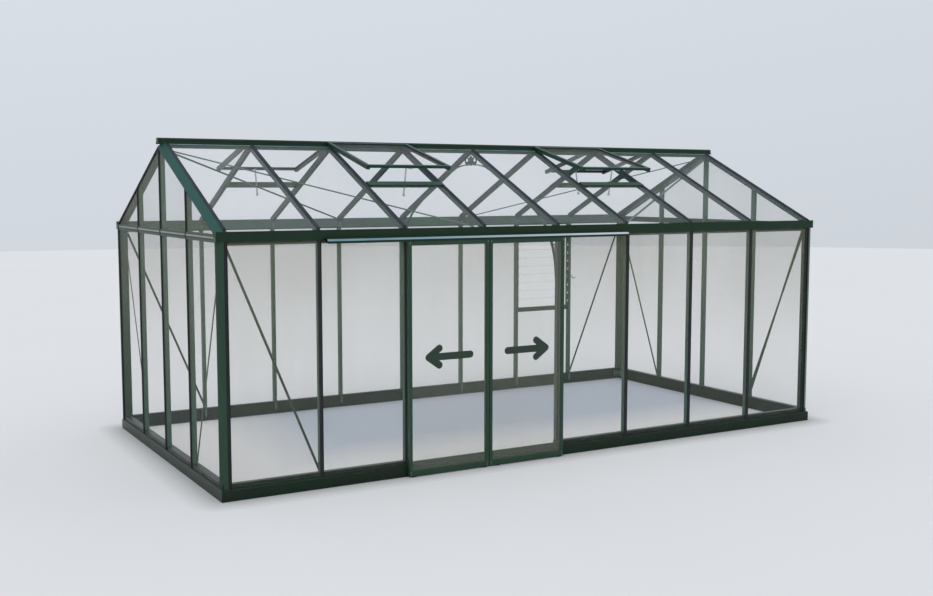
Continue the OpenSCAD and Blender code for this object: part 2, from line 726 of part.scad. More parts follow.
leaf_x = [[door_mid - door_half_gap - leaf_w, door_mid - door_half_gap],
          [door_mid + door_half_gap, door_mid + door_half_gap + leaf_w]];

module leaf_frame(x) green() housed() on_side(-1) {
    out = [leaf_back, leaf_front];
    block([x[0], x[0] + stile_w], out, leaf_z);
    block([x[1] - stile_w, x[1]], out, leaf_z);
    block(x, out, [leaf_z[1] - top_rail_h, leaf_z[1]]);
    block(x, out, [leaf_z[0], leaf_z[0] + bottom_rail_h]);
    // Kick rail with five shallow ribs.
    kick_z = leaf_z[0] + bottom_rail_h;
    rib = kick_h / 5;
    along_x(x[0] + stile_w / 2, x[1] - stile_w / 2, concat(
        [[leaf_back, kick_z + kick_h], [leaf_back, kick_z - 1], [leaf_back + kick_d - 4, kick_z - 1]],
        [for (k = [0:4], e = [[0, 0], [0.25, 4], [0.75, 4], [1, 0]])
            [leaf_back + kick_d - 4 + e[1], kick_z + (k + e[0]) * rib]]));
}

module leaf_glass(x) clear_glass() housed() on_side(-1)
    block([x[0] + stile_w, x[1] - stile_w], [leaf_glass_back, leaf_glass_back + glass_t],
        [leaf_z[0] + bottom_rail_h, leaf_z[1] - top_rail_h]);

// Two wheels on upright plates, which run on the ledge of the track.
module leaf_hangers(x) bright_metal() housed() on_side(-1)
    for (mid = [x[0] + hanger_inset, x[1] - hanger_inset]) {
        plate = gutter_out + track_t + ledge_d + slide_gap;
        block([mid - hanger_w / 2, mid + hanger_w / 2], [plate, plate + hanger_t],
            [leaf_z[1], track_z[1] - 10]);
        axle_z = ledge_z + ledge_t + 0.5 + wheel_r;
        translate([mid, plate - 2 - wheel_w, axle_z]) rotate([-90, 0, 0]) cylinder(r = wheel_r, h = wheel_w);
        translate([mid, plate - 3, axle_z]) rotate([-90, 0, 0]) cylinder(r = 3, h = 4);
    }

module door_left_frame() leaf_frame(leaf_x[0]);
module door_left_glass() leaf_glass(leaf_x[0]);
module door_left_hangers() leaf_hangers(leaf_x[0]);
module door_right_frame() leaf_frame(leaf_x[1]);
module door_right_glass() leaf_glass(leaf_x[1]);
module door_right_hangers() leaf_hangers(leaf_x[1]);

// ---- nodes ----

base_front_left();
base_front_right();
base_rear();
base_left();
base_right();
door_threshold();
corner_posts();
front_mullions();
rear_mullions();
gable_mullions();
gable_transoms();
front_gutter();
rear_gutter();
ridge_beam();
ridge_cap();
front_rafters();
rear_rafters();
ridge_arch();
knee_braces();
wall_braces();
gable_braces();
roof_braces();
front_vent_frames();
rear_vent_frames();
vent_glass();
vent_rails();
vent_stays();
front_wall_glass();
rear_wall_glass();
left_gable_glass();
right_gable_glass();
front_roof_glass();
rear_roof_glass();
wall_strips();
gable_strips();
roof_strips();
louvre_frame();
louvre_blades();
louvre_handle();
door_track();
door_left_frame();
door_left_glass();
door_left_hangers();
door_right_frame();
door_right_glass();
door_right_hangers();
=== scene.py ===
# %% [markdown]
# # A glass greenhouse, dressed around its CAD frame
#
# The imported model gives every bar, pane and panel its true size. This lesson leaves those meshes alone and
# adds what the eye looks for next: powder coat, hazy glass, moulded glazing strips, bolts, cleats, clips
# and seals. Each step says what the real piece is, how it could be made, and why one way was chosen.

# %% Load the frame
import json
import math

import bpy
import numpy as np
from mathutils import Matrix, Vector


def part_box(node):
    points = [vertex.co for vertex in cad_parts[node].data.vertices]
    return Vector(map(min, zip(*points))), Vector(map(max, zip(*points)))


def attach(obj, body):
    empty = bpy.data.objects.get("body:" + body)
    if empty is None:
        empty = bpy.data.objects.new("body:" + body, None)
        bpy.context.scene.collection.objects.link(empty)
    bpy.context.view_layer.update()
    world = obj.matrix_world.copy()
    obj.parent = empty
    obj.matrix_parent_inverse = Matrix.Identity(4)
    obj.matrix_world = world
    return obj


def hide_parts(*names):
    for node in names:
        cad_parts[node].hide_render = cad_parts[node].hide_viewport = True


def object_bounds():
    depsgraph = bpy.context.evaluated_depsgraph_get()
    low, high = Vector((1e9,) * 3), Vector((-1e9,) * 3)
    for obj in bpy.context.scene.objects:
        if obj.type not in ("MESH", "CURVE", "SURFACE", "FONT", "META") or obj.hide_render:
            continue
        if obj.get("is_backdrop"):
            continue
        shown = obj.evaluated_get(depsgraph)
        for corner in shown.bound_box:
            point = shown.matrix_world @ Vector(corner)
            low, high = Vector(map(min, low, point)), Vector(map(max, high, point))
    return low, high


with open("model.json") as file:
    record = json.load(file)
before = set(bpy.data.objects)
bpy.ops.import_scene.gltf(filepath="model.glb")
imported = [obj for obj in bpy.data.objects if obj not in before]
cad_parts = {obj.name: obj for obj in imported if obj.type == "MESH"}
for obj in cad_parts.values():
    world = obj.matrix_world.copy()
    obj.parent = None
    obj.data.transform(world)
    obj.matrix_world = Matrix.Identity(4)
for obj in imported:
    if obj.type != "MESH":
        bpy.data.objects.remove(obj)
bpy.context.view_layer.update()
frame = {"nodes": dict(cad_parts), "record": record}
scene = bpy.context.scene

# %% [markdown]
# ## Where things are
#
# The long walls run along X, the doors face -Y and Z is up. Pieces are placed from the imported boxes, so
# they follow if the frame is ever packed again with other values. The doors stand proud of the front wall,
# so the middle of the house lies a little behind y = 0. Lengths that no box gives are written here once, in
# metres.

# %% Measures of the house
BAY = 0.74
BAR = 0.031
BAR_D = 0.040
GLASS = 0.004
SLOPE = math.radians(24.742)

front_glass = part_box("front_wall_glass")
rear_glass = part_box("rear_wall_glass")
house_y = (front_glass[0].y + rear_glass[1].y) / 2
wall_out = (rear_glass[1].y - front_glass[0].y) / 2
gable_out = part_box("right_gable_glass")[1].x
ridge_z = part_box("ridge_beam")[1].z
eaves_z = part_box("front_gutter")[1].z
sill_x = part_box("base_right")[1].x
sill_out = house_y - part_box("base_front_left")[0].y
bar_back = wall_out - GLASS - BAR_D
gable_bar_back = gable_out - GLASS - BAR_D
long_lines = (np.arange(9) - 4) * BAY
gable_lines = (np.arange(5) - 2) * BAY
print(f"walls at {wall_out:.3f}, gables at {gable_out:.3f}, ridge at {ridge_z:.3f}, eaves at {eaves_z:.3f}")

# %% [markdown]
# Two small helpers turn "how far out from the middle" and "how high off the roof glass" into points. A roof
# point is found by going a length s down the slope from the ridge line and then a height n square to the
# glass.

# %% Points on walls and roof
def wall_point(side, x, out, z):
    """Point on the front (side -1) or rear (side 1) of the house."""
    return np.array([x, house_y + side * out, z])


def roof_point(side, x, s, n=0.0):
    """Ridge point + s along the slope + n along the slope's normal."""
    out = s * math.cos(SLOPE) + n * math.sin(SLOPE)
    return wall_point(side, x, out, ridge_z - s * math.sin(SLOPE) + n * math.cos(SLOPE))


def roof_axes(side):
    """(down the slope, off the glass) as unit vectors."""
    down = np.array([0, side * math.cos(SLOPE), -math.sin(SLOPE)])
    off = np.array([0, side * math.sin(SLOPE), math.cos(SLOPE)])
    return down, off


X, Y, Z = np.eye(3)
print("eaves end of the roof glass", roof_point(-1, 0, wall_out / math.cos(SLOPE)).round(3))

# %% [markdown]
# ## The camera
#
# It stands at eye height off the front left corner and looks slightly down. The shift is nearly nothing: it
# only puts the middle of the picture where it belongs.

# %% Camera
CAMERA_YAW = math.radians(-29.917)
CAMERA_TILT = math.radians(90 - 5.552)
camera_data = bpy.data.cameras.new("camera")
camera_data.lens = 43.84
camera_data.sensor_width = 36.0
camera_data.shift_x = 0.00477
camera_data.shift_y = 0.00025
camera_data.clip_end = 200.0
camera = bpy.data.objects.new("camera", camera_data)
camera.location = (-5.5959, -9.5322, 2.3255)
camera.rotation_euler = (CAMERA_TILT, 0, CAMERA_YAW)
scene.collection.objects.link(camera)
scene.camera = camera
scene.view_settings.view_transform = "Standard"
print("camera at", tuple(camera.location))

# %% [markdown]
# ## A short language for node trees
#
# Procedural finishes need many nodes. Written out one call at a time they hide their own idea, so `node`
# makes a node, sets its plain values and joins its inputs in one line. A value that is the same everywhere
# stays on the socket. Only what changes over the surface is linked.

# %% Node helpers
def node(tree, kind, inputs=None, **settings):
    """Adds a node. Inputs map a socket name or number to a value or to another node's output."""
    made = tree.nodes.new(kind)
    for name, value in settings.items():
        setattr(made, name, value)
    for name, value in (inputs or {}).items():
        if isinstance(value, bpy.types.NodeSocket):
            tree.links.new(value, made.inputs[name])
        else:
            made.inputs[name].default_value = value
    return made


def maths(tree, operation, *values, clamp=False):
    """Output of a Math node."""
    made = node(tree, "ShaderNodeMath", dict(enumerate(values)), operation=operation, use_clamp=clamp)
    return made.outputs[0]


def dot(tree, a, b):
    """Output of a dot product of two vectors."""
    return node(tree, "ShaderNodeVectorMath", {0: a, 1: b}, operation="DOT_PRODUCT").outputs["Value"]


def mix_colour(tree, factor, a, b, blend="MIX"):
    """Output of a colour Mix node: a where the factor is 0 and b where it is 1."""
    made = node(tree, "ShaderNodeMix", data_type="RGBA", blend_type=blend)
    for socket, value in zip((made.inputs[0], made.inputs[6], made.inputs[7]), (factor, a, b)):
        if isinstance(value, bpy.types.NodeSocket):
            tree.links.new(value, socket)
        else:
            socket.default_value = value
    return made.outputs[2]


def ramp(tree, value, low, high):
    """Clamped straight ramp: 0 at low and 1 at high."""
    made = node(tree, "ShaderNodeMapRange", {0: value, 1: low, 2: high, 3: 0.0, 4: 1.0}, clamp=True)
    return made.outputs[0]


def noise(tree, where, scale, detail=2.0, roughness=0.5, stretch=(1, 1, 1)):
    """Noise value at the given coordinates, which a Mapping node first stretches."""
    if stretch != (1, 1, 1):
        where = node(tree, "ShaderNodeMapping", {"Vector": where, "Scale": stretch}).outputs[0]
    values = {"Vector": where, "Scale": scale, "Detail": detail, "Roughness": roughness}
    made = node(tree, "ShaderNodeTexNoise", values)
    return made.outputs[0]


def linear(*rgb):
    """A colour written as 0-255 display values, as the linear colour that Blender's sockets hold."""
    c = np.array(rgb, float) / 255
    c = np.where(c <= 0.04045, c / 12.92, ((c + 0.055) / 1.055) ** 2.4)
    return (*c.tolist(), 1.0)


def shared_effect(name, inputs, outputs):
    """A node group with named sockets, given as (name, kind, default) and (name, kind)."""
    group = bpy.data.node_groups.new(name, "ShaderNodeTree")
    for label, kind, default in inputs:
        socket = group.interface.new_socket(label, in_out="INPUT", socket_type=f"NodeSocket{kind}")
        socket.default_value = default
    for label, kind in outputs:
        group.interface.new_socket(label, in_out="OUTPUT", socket_type=f"NodeSocket{kind}")
    return group, group.nodes.new("NodeGroupInput").outputs, group.nodes.new("NodeGroupOutput")


def put_out(group, wanted, **results):
    """Links each result to the group output of the same name."""
    for label, result in results.items():
        group.links.new(result, wanted.inputs[label])


def finish_material(name, group, group_values, to_shader, **constants):
    """A material of one Principled shader. The group's outputs feed the sockets that to_shader names."""
    made = bpy.data.materials.new(name)
    made.use_nodes = True
    tree = made.node_tree
    shader = tree.nodes["Principled BSDF"]
    for label, value in constants.items():
        shader.inputs[label.replace("_", " ")].default_value = value
    effect = node(tree, "ShaderNodeGroup", node_tree=group)
    for label, value in group_values.items():
        effect.inputs[label].default_value = value
    for out, into in to_shader.items():
        tree.links.new(effect.outputs[out], shader.inputs[into])
    return made


# %% [markdown]
# ## Powder coat
#
# The bars are aluminium extrusions, baked in a dark moss-green powder. Real powder coat isn't flat: it has
# an orange-peel ripple a few millimetres across, a grain too fine to see singly, rain streaks that run
# down, and a pale film of dust where a face looks at the sky. One group makes all four, so each green part
# can weigh them anew. Where that film is strong and teal it is a painted sky sheen, not dust, and several
# coats below are lighter or darker copies of the one green, with light and shade painted into their colour.

# %% Powder coat group
coat_group, given, wanted = shared_effect(
    "powder coat",
    [
        ("Colour", "Color", linear(24, 48, 33)),
        ("Dust and sheen colour", "Color", linear(120, 140, 138)),
        ("Dust and sheen", "Float", 0.15),
        ("Ripple", "Float", 0.25),
        ("Gloss roughness", "Float", 0.34),
    ],
    [("Colour", "Color"), ("Roughness", "Float"), ("Normal", "Vector")],
)
place = node(coat_group, "ShaderNodeTexCoord").outputs["Object"]
turned_to = node(coat_group, "ShaderNodeNewGeometry").outputs["Normal"]
facing = node(coat_group, "ShaderNodeSeparateXYZ", {0: turned_to})
patches = noise(coat_group, place, 2.2, 3.0)
streaks = noise(coat_group, place, 22.0, 3.0, 0.6, stretch=(1, 1, 0.06))
grain = noise(coat_group, place, 1400.0, 1.0)
ripple = noise(coat_group, place, 260.0, 2.0)
skyward = ramp(coat_group, facing.outputs[2], 0.25, 0.95)
shade = maths(coat_group, "MULTIPLY_ADD", maths(coat_group, "ADD", patches, streaks), 0.36, 0.64)
body_colour = mix_colour(coat_group, 1.0, given["Colour"], shade, "MULTIPLY")
# Faces that look at the sky get the film: real dust on most coats, and a painted sky sheen where its colour
# is teal.
settled_dust_and_sheen = maths(coat_group, "MULTIPLY", skyward, ramp(coat_group, patches, 0.05, 0.5))
settled_dust_and_sheen = maths(coat_group, "ADD", settled_dust_and_sheen, 0.08)
film = maths(coat_group, "MULTIPLY", settled_dust_and_sheen, given["Dust and sheen"], clamp=True)
coated = mix_colour(coat_group, film, body_colour, given["Dust and sheen colour"])
rough = maths(coat_group, "MULTIPLY_ADD", grain, 0.10, -0.05)
rough = maths(coat_group, "ADD", given["Gloss roughness"], rough)
rough = maths(coat_group, "MULTIPLY_ADD", film, 0.35, rough, clamp=True)
height = maths(coat_group, "MULTIPLY_ADD", grain, 0.25, ripple)
bump = node(coat_group, "ShaderNodeBump", {"Strength": given["Ripple"], "Distance": 0.0004, "Height": height})
put_out(coat_group, wanted, Colour=coated, Roughness=rough, Normal=bump.outputs[0])

COAT_SOCKETS = {"Colour": "Base Color", "Roughness": "Roughness", "Normal": "Normal"}


def powder_coat(name, colour, dust_and_sheen, dust_and_sheen_colour=(120, 140, 138), gloss=0.34, ripple=0.25):
    """Green coat with its own colour, dust and gloss."""
    values = {
        "Colour": linear(*colour),
        "Dust and sheen": dust_and_sheen,
        "Dust and sheen colour": linear(*dust_and_sheen_colour),
        "Gloss roughness": gloss,
        "Ripple": ripple,
    }
    return finish_material(name, coat_group, values, COAT_SOCKETS, Specular_IOR_Level=0.22)


moss_green = powder_coat("moss green coat", (36, 63, 48), 0.10)
# Painted shade: the sill and gutter coats are darker copies of the one green, standing in for shade on their
# faces.
sill_shaded_green = powder_coat("sill green coat, painted shade", (13, 35, 21), 0.05)
gutter_shaded_green = powder_coat("gutter green coat, painted shade", (14, 42, 24), 0.06, gloss=0.30)
# Painted sky sheen: the strong teal film on the verge, vent frame and rail coats stands in for the sky's
# reflection.
verge_sky_sheen_green = powder_coat("verge coat, painted sky sheen", (24, 56, 45), 0.92, (40, 88, 84), gloss=0.36)
vent_frame_sky_sheen_green = powder_coat("vent frame coat, painted sky sheen", (24, 52, 42), 0.15, (70, 128, 120), gloss=0.36)
rail_sky_sheen_green = powder_coat("cross rail coat, painted sky sheen", (34, 58, 46), 0.25, (74, 108, 104), gloss=0.42)
# Painted highlight: the side lines get a lighter copy of the green.
thread_highlight_green = powder_coat("thread highlight coat", (62, 86, 76), 0.30, (104, 130, 126), gloss=0.42)
transom_green = powder_coat("transom green coat", (40, 62, 48), 0.20, (96, 112, 100), gloss=0.42)
# Painted light: parts that stand inside, behind the glass, get a lighter copy of the green.
inside_lit_green = powder_coat("inside lit green coat", (56, 86, 74), 0.10, gloss=0.46)
brace_green = powder_coat("brace green coat", (40, 66, 54), 0.10, gloss=0.42)
# Painted highlight: a pale coat for the strip on the upper half of each transom.
transom_highlight_coat = powder_coat("transom highlight strip coat", (132, 138, 130), 0.40, (158, 162, 156), gloss=0.40)
# Painted shade: the rear sill, low inside the house, gets a darker copy of the green.
rear_sill_shaded_green = powder_coat("rear sill coat, painted shade", (22, 44, 38), 0.05, gloss=0.46)
print("powder coats:", [m.name for m in bpy.data.materials if "coat" in m.name])

# %% [markdown]
# ## Strip rubber, bare aluminium and small hardware
#
# Glazing strips are a soft black plastic with a satin bloom. Bare aluminium keeps the fine lines of the
# rolling mill, which stretch along the part. Both are small variations on one idea: noise at two scales,
# one of them stretched.

# %% Strip and metal group
grain_group, given, wanted = shared_effect(
    "fine grain",
    [
        ("Colour", "Color", linear(46, 47, 51)),
        ("Worn colour", "Color", linear(72, 74, 80)),
        ("Wear", "Float", 0.4),
        ("Grain scale", "Float", 500.0),
        ("Grain stretch", "Vector", (1.0, 1.0, 1.0)),
        ("Roughness", "Float", 0.5),
        ("Relief", "Float", 0.2),
        ("Fade from", "Float", 100.0),
        ("Fade to", "Float", 101.0),
        ("Lee side", "Vector", (0.0, 0.0, 0.0)),
    ],
    [("Colour", "Color"), ("Roughness", "Float"), ("Normal", "Vector")],
)
place = node(grain_group, "ShaderNodeTexCoord").outputs["Object"]
drawn = node(grain_group, "ShaderNodeMapping", {"Vector": place, "Scale": given["Grain stretch"]}).outputs[0]
lines = noise(grain_group, drawn, given["Grain scale"], 3.0)
clouds = noise(grain_group, place, 5.0, 3.0)
worn_and_glint = maths(grain_group, "MULTIPLY", ramp(grain_group, clouds, 0.35, 0.7), given["Wear"])
# Painted glint: between the two fade x values the colour turns to the worn colour, a sky reflection that
# whitens.
along = node(grain_group, "ShaderNodeSeparateXYZ", {0: place}).outputs[0]
painted_glint_fade = ramp(grain_group, along, given["Fade from"], given["Fade to"])
worn_and_glint = maths(grain_group, "ADD", worn_and_glint, painted_glint_fade, clamp=True)
colour = mix_colour(grain_group, worn_and_glint, given["Colour"], given["Worn colour"])
streaked = maths(grain_group, "MULTIPLY_ADD", lines, 0.5, 0.75)
colour = mix_colour(grain_group, 1.0, colour, streaked, "MULTIPLY")
# Painted shade: faces that turn along the shade side vector are darkened by up to two thirds.
turned_to = node(grain_group, "ShaderNodeNewGeometry").outputs["Normal"]
painted_shade = ramp(grain_group, dot(grain_group, turned_to, given["Lee side"]), 0.04, 0.20)
painted_shade_factor = maths(grain_group, "MULTIPLY_ADD", painted_shade, -0.66, 1.0)
colour = mix_colour(grain_group, 1.0, colour, painted_shade_factor, "MULTIPLY")
rough = maths(grain_group, "ADD", lines, -0.5)
rough = maths(grain_group, "MULTIPLY_ADD", rough, 0.3, given["Roughness"], clamp=True)
bump = node(grain_group, "ShaderNodeBump", {"Strength": given["Relief"], "Distance": 0.0003, "Height": lines})
put_out(grain_group, wanted, Colour=colour, Roughness=rough, Normal=bump.outputs[0])

NO_GLINT_FADE = (100, 101)  # far outside the house
NO_PAINTED_SHADE = (0, 0, 0)


def grained(
    name, colour, worn_and_glint_colour, wear, scale, stretch, roughness, relief, glint_fade=NO_GLINT_FADE, shade_side=NO_PAINTED_SHADE, **constants
):
    """A finish from the fine grain group. Between the two x values of its fade it turns to the worn colour, a
    painted glint, and what faces along its shade side is darker, a painted shade."""
    values = {
        "Colour": linear(*colour),
        "Worn colour": linear(*worn_and_glint_colour),
        "Wear": wear,
        "Grain scale": scale,
        "Grain stretch": stretch,
        "Roughness": roughness,
        "Relief": relief,
        "Fade from": glint_fade[0],
        "Fade to": glint_fade[1],
        "Lee side": shade_side,
    }
    return finish_material(name, grain_group, values, COAT_SOCKETS, **constants)


# Painted shade: the flank of each strip that turns along its shade side is darkened.
wall_rubber = grained("wall strip rubber", (34, 36, 39), (50, 53, 57), 0.5, 420, (1, 1, 0.1), 0.55, 0.2,
                      shade_side=(1, 0, 0), Specular_IOR_Level=0.2)
gable_rubber = grained("gable strip rubber", (18, 20, 24), (32, 35, 39), 0.5, 420, (1, 1, 0.1), 0.55, 0.2,
                       shade_side=(0, 1, 0), Specular_IOR_Level=0.2)
roof_rubber = grained("roof strip rubber", (36, 39, 52), (58, 62, 80), 0.6, 420, (1, 1, 1), 0.52, 0.3,
                      shade_side=(1, 0, 0), Specular_IOR_Level=0.2)
bead_rubber = grained("bead rubber", (24, 26, 27), (42, 44, 46), 0.4, 600, (1, 1, 1), 0.6, 0.2,
                      Specular_IOR_Level=0.2)
door_bead = grained("door bead rubber", (48, 62, 54), (66, 78, 70), 0.4, 600, (1, 1, 1), 0.6, 0.2,
                    Specular_IOR_Level=0.2)
rolled_metal = grained("rolled aluminium", (165, 172, 178), (200, 206, 212), 0.5, 300, (1, 1, 0.05), 0.32,
                       0.1, Metallic=1.0)
zinc = grained("zinc plate", (128, 132, 134), (168, 172, 174), 0.6, 900, (1, 1, 1), 0.38, 0.15, Metallic=1.0)
clip_plastic = grained("clip plastic", (206, 210, 208), (228, 231, 230), 0.4, 700, (1, 1, 1), 0.45, 0.1)
seal_rubber = grained("head seal rubber", (34, 56, 44), (48, 68, 56), 0.5, 500, (0.1, 1, 1), 0.55, 0.1)
# Painted reflection: the track nose strip's colour is the sky seen in the bevel, whiter towards +x.
track_painted_glint = grained("track nose painted glint", (92, 134, 148), (186, 192, 202), 0.15, 160, (0.02, 1, 1), 0.42,
                      0.05, glint_fade=(-1.6, 0.5))
# Painted highlight: the bluish strip under the ridge cap.
ridge_painted_highlight = grained("ridge painted highlight", (96, 134, 144), (140, 168, 178), 0.8, 160, (0.05, 1, 1), 0.4,
                         0.05)
pile = grained("brush pile", (30, 32, 32), (60, 62, 62), 0.5, 1600, (1, 1, 0.05), 0.9, 0.6, Sheen_Weight=0.3)
vinyl = grained("arrow vinyl", (16, 44, 28), (26, 56, 38), 0.5, 900, (1, 1, 1), 0.42, 0.12)
print("small finishes:", wall_rubber.name, rolled_metal.name, vinyl.name)

# %% [markdown]
# ## Hazy glass
#
# Clean glass would all but vanish. These panes carry a thin grey film that dims whatever stands behind
# them: partly a real haze, partly a painted reflection of the pale sky and ground. It is next to nothing
# along the foot and thick and warm under the eaves. Soft clouds make pane differ from pane, and the ground
# edges are darker and greener. A refracting glass shader would also darken the room, because lamps don't
# shine through it, so the film is a surface whose Alpha says how much of it there is: light passes, the
# veil stays.

# %% Glass group
# Height in metres, display colour of the film there, and how much of it lies on each face. The film is part
# real haze, part painted reflection.
HAZE_AND_REFLECTION_BY_HEIGHT = [
    (0.09, (164, 165, 162), 0.050),
    (0.26, (162, 162, 156), 0.045),
    (0.46, (157, 156, 146), 0.050),
    (1.00, (150, 148, 132), 0.080),
    (1.45, (144, 142, 121), 0.118),
    (1.80, (137, 136, 112), 0.148),
    (1.93, (139, 138, 118), 0.148),
]
FILM_TOP = 2.0

glass_group, given, wanted = shared_effect(
    "hazy glass",
    [
        ("Film", "Float", 1.0),
        ("Veil", "Float", 0.0),
        ("Clouds", "Float", 0.5),
        ("Tint", "Color", linear(232, 235, 238)),
        ("Tint share", "Float", 0.0),
        ("Edge axis", "Vector", (1.0, 0.0, 0.0)),
    ],
    [("Colour", "Color"), ("Alpha", "Float"), ("Roughness", "Float")],
)
place = node(glass_group, "ShaderNodeTexCoord").outputs["Object"]
normal = node(glass_group, "ShaderNodeNewGeometry").outputs["True Normal"]
height = node(glass_group, "ShaderNodeSeparateXYZ", {0: place}).outputs[2]
level = maths(glass_group, "DIVIDE", height, FILM_TOP)
film = node(glass_group, "ShaderNodeValToRGB", {0: level})
for _ in range(len(HAZE_AND_REFLECTION_BY_HEIGHT) - 2):
    film.color_ramp.elements.new(0.5)
for element, (z, colour, amount) in zip(film.color_ramp.elements, HAZE_AND_REFLECTION_BY_HEIGHT):
    element.position = z / FILM_TOP
    element.color = (*linear(*colour)[:3], amount)
clouds = ramp(glass_group, noise(glass_group, place, 1.1, 1.5, 0.4), 0.36, 0.64)
runs = noise(glass_group, place, 9.0, 3.0, 0.6, stretch=(1, 1, 0.12))
specks = ramp(glass_group, noise(glass_group, place, 160.0, 1.0), 0.60, 0.75)
colour = mix_colour(glass_group, given["Tint share"], film.outputs[0], given["Tint"])
cover = maths(glass_group, "MULTIPLY", clouds, given["Clouds"])
paler = mix_colour(glass_group, 0.6, colour, linear(178, 180, 174))
colour = mix_colour(glass_group, cover, colour, paler)
thick = maths(glass_group, "MULTIPLY_ADD", film.outputs["Alpha"], given["Film"], given["Veil"])
thick = maths(glass_group, "MULTIPLY", thick, maths(glass_group, "MULTIPLY_ADD", cover, -0.25, 1.1))
thick = maths(glass_group, "MULTIPLY_ADD", maths(glass_group, "ADD", runs, -0.5), 0.03, thick)
thick = maths(glass_group, "MULTIPLY_ADD", specks, 0.01, thick, clamp=True)
along_edge = maths(glass_group, "ABSOLUTE", dot(glass_group, normal, given["Edge axis"]))
edge = maths(glass_group, "GREATER_THAN", along_edge, 0.5)
colour = mix_colour(glass_group, edge, colour, linear(96, 128, 118))
alpha = maths(glass_group, "MULTIPLY_ADD", edge, 0.5, thick, clamp=True)
rough = maths(glass_group, "MULTIPLY_ADD", runs, 0.10, 0.06)
put_out(glass_group, wanted, Colour=colour, Alpha=alpha, Roughness=rough)

GLASS_SOCKETS = {"Colour": "Base Color", "Alpha": "Alpha", "Roughness": "Roughness"}


def hazy_glass(name, edge_axis, film=1.0, veil=0.0, clouds=0.6, tint=(232, 235, 238), tint_share=0.0):
    """Glass with its own film, even veil and tint. edge_axis tells its ground edges from its faces."""
    values = {
        "Film": film,
        "Veil": veil,
        "Clouds": clouds,
        "Tint": linear(*tint),
        "Tint share": tint_share,
        "Edge axis": edge_axis,
    }
    return finish_material(name, glass_group, values, GLASS_SOCKETS, IOR=1.5, Specular_IOR_Level=0.3)


wall_glass = hazy_glass("wall glass", (1, 0, 0))
gable_glass = hazy_glass("gable glass", (0, 1, 0), film=0.9)
door_glass = hazy_glass("door glass", (1, 0, 0), film=0.45, veil=0.075, tint=(160, 158, 142), tint_share=0.6)
# The roof panes carry only an even pale veil, a painted reflection of the bright sky.
roof_glass = hazy_glass("roof glass", (1, 0, 0), film=0.0, veil=0.045, tint_share=1.0)
blade_glass = hazy_glass("louvre glass", (0, 0, 1), film=0.3, tint_share=0.4)
print("glass films:", [m.name for m in bpy.data.materials if "glass" in m.name])

# %% [markdown]
# ## Dress the CAD nodes
#
# Each imported part already names its material slot. The slot gives the first choice, and a short list of
# exceptions gives parts a finish of their own. The green ones among them are lit and shaded copies of the
# one coat: painted shade on the sills and gutters, a painted sky sheen on parts that face the sky, and a
# lighter green, painted light, on parts that stand inside, behind the glass.

# %% Assign materials
SLOT_FINISH = {
    "green_frame": moss_green,
    "glazing_strip": wall_rubber,
    "glass": wall_glass,
    "bright_aluminium": rolled_metal,
}
OWN_FINISH = [
    (gutter_shaded_green, ["front_gutter", "door_track", "door_threshold", "ridge_cap"]),
    (inside_lit_green, [
        "rear_gutter", "ridge_beam", "front_mullions", "rear_mullions", "gable_mullions", "knee_braces",
        "ridge_arch", "roof_braces", "louvre_handle",
    ]),
    (sill_shaded_green, ["base_front_left", "base_front_right", "base_left", "base_right"]),
    (rear_sill_shaded_green, ["base_rear"]),
    (verge_sky_sheen_green, ["front_rafters", "rear_rafters"]),
    (vent_frame_sky_sheen_green, ["front_vent_frames", "rear_vent_frames"]),
    (rail_sky_sheen_green, ["vent_rails"]),
    (transom_green, ["gable_transoms"]),
    (brace_green, ["wall_braces", "gable_braces"]),
    (door_glass, ["door_left_glass", "door_right_glass"]),
    (roof_glass, ["front_roof_glass", "rear_roof_glass", "vent_glass"]),
    (gable_glass, ["left_gable_glass", "right_gable_glass"]),
    (blade_glass, ["louvre_blades"]),
    (roof_rubber, ["roof_strips"]),
]
node_finish = {name: finish for finish, names in OWN_FINISH for name in names}
for part in frame["record"]["subparts"]:
    name = part.get("node") or part.get("name")
    packed = frame["nodes"][name]
    finish = node_finish.get(name, SLOT_FINISH[part["material_slot"]])
    packed.data.materials.clear()
    packed.data.materials.append(finish)
    for slot in packed.material_slots:
        slot.material = finish
print("dressed", len(frame["nodes"]), "packed parts")

# %% [markdown]
# ## From a section to a solid
#
# Nearly everything on a house like this is an extrusion: a flat section carried along a straight line. A
# few pieces are turned on a lathe, and many small ones repeat. So three helpers make the solids. `skin`
# closes a row of rings into a solid, `bar` and `plate` make the rings of a straight piece, and `turned`
# makes those of a round one. All of them work on whole arrays. A shape is a pair: its points, and the faces
# that join them.

# %% Solids from rings
def volume(points, faces):
    """Signed volume: a sixth of the sum of p . (q x r) over the triangles of every face."""
    fans = np.array([(f[0], f[n], f[n + 1]) for f in faces for n in range(1, len(f) - 1)])
    p, q, r = (points[fans[:, n]] for n in range(3))
    return float((p * np.cross(q, r)).sum() / 6)


def outward(points, faces):
    """The same shape with its faces turned outwards, which is where the signed volume is positive."""
    return (points, faces) if volume(points, faces) > 0 else (points, [f[::-1] for f in faces])


def skin(rings):
    """Solid through rings of k points: quads join each ring to the next, and a polygon closes each end."""
    rings = np.asarray(rings, float)
    count, k = rings.shape[:2]
    i, j = np.meshgrid(np.arange(count - 1), np.arange(k), indexing="ij")
    n = (j + 1) % k
    quads = np.stack([i * k + j, i * k + n, (i + 1) * k + n, (i + 1) * k + j], -1).reshape(-1, 4).tolist()
    ends = [list(range(k))[::-1], list(range((count - 1) * k, count * k))]
    return outward(rings.reshape(-1, 3), quads + ends)


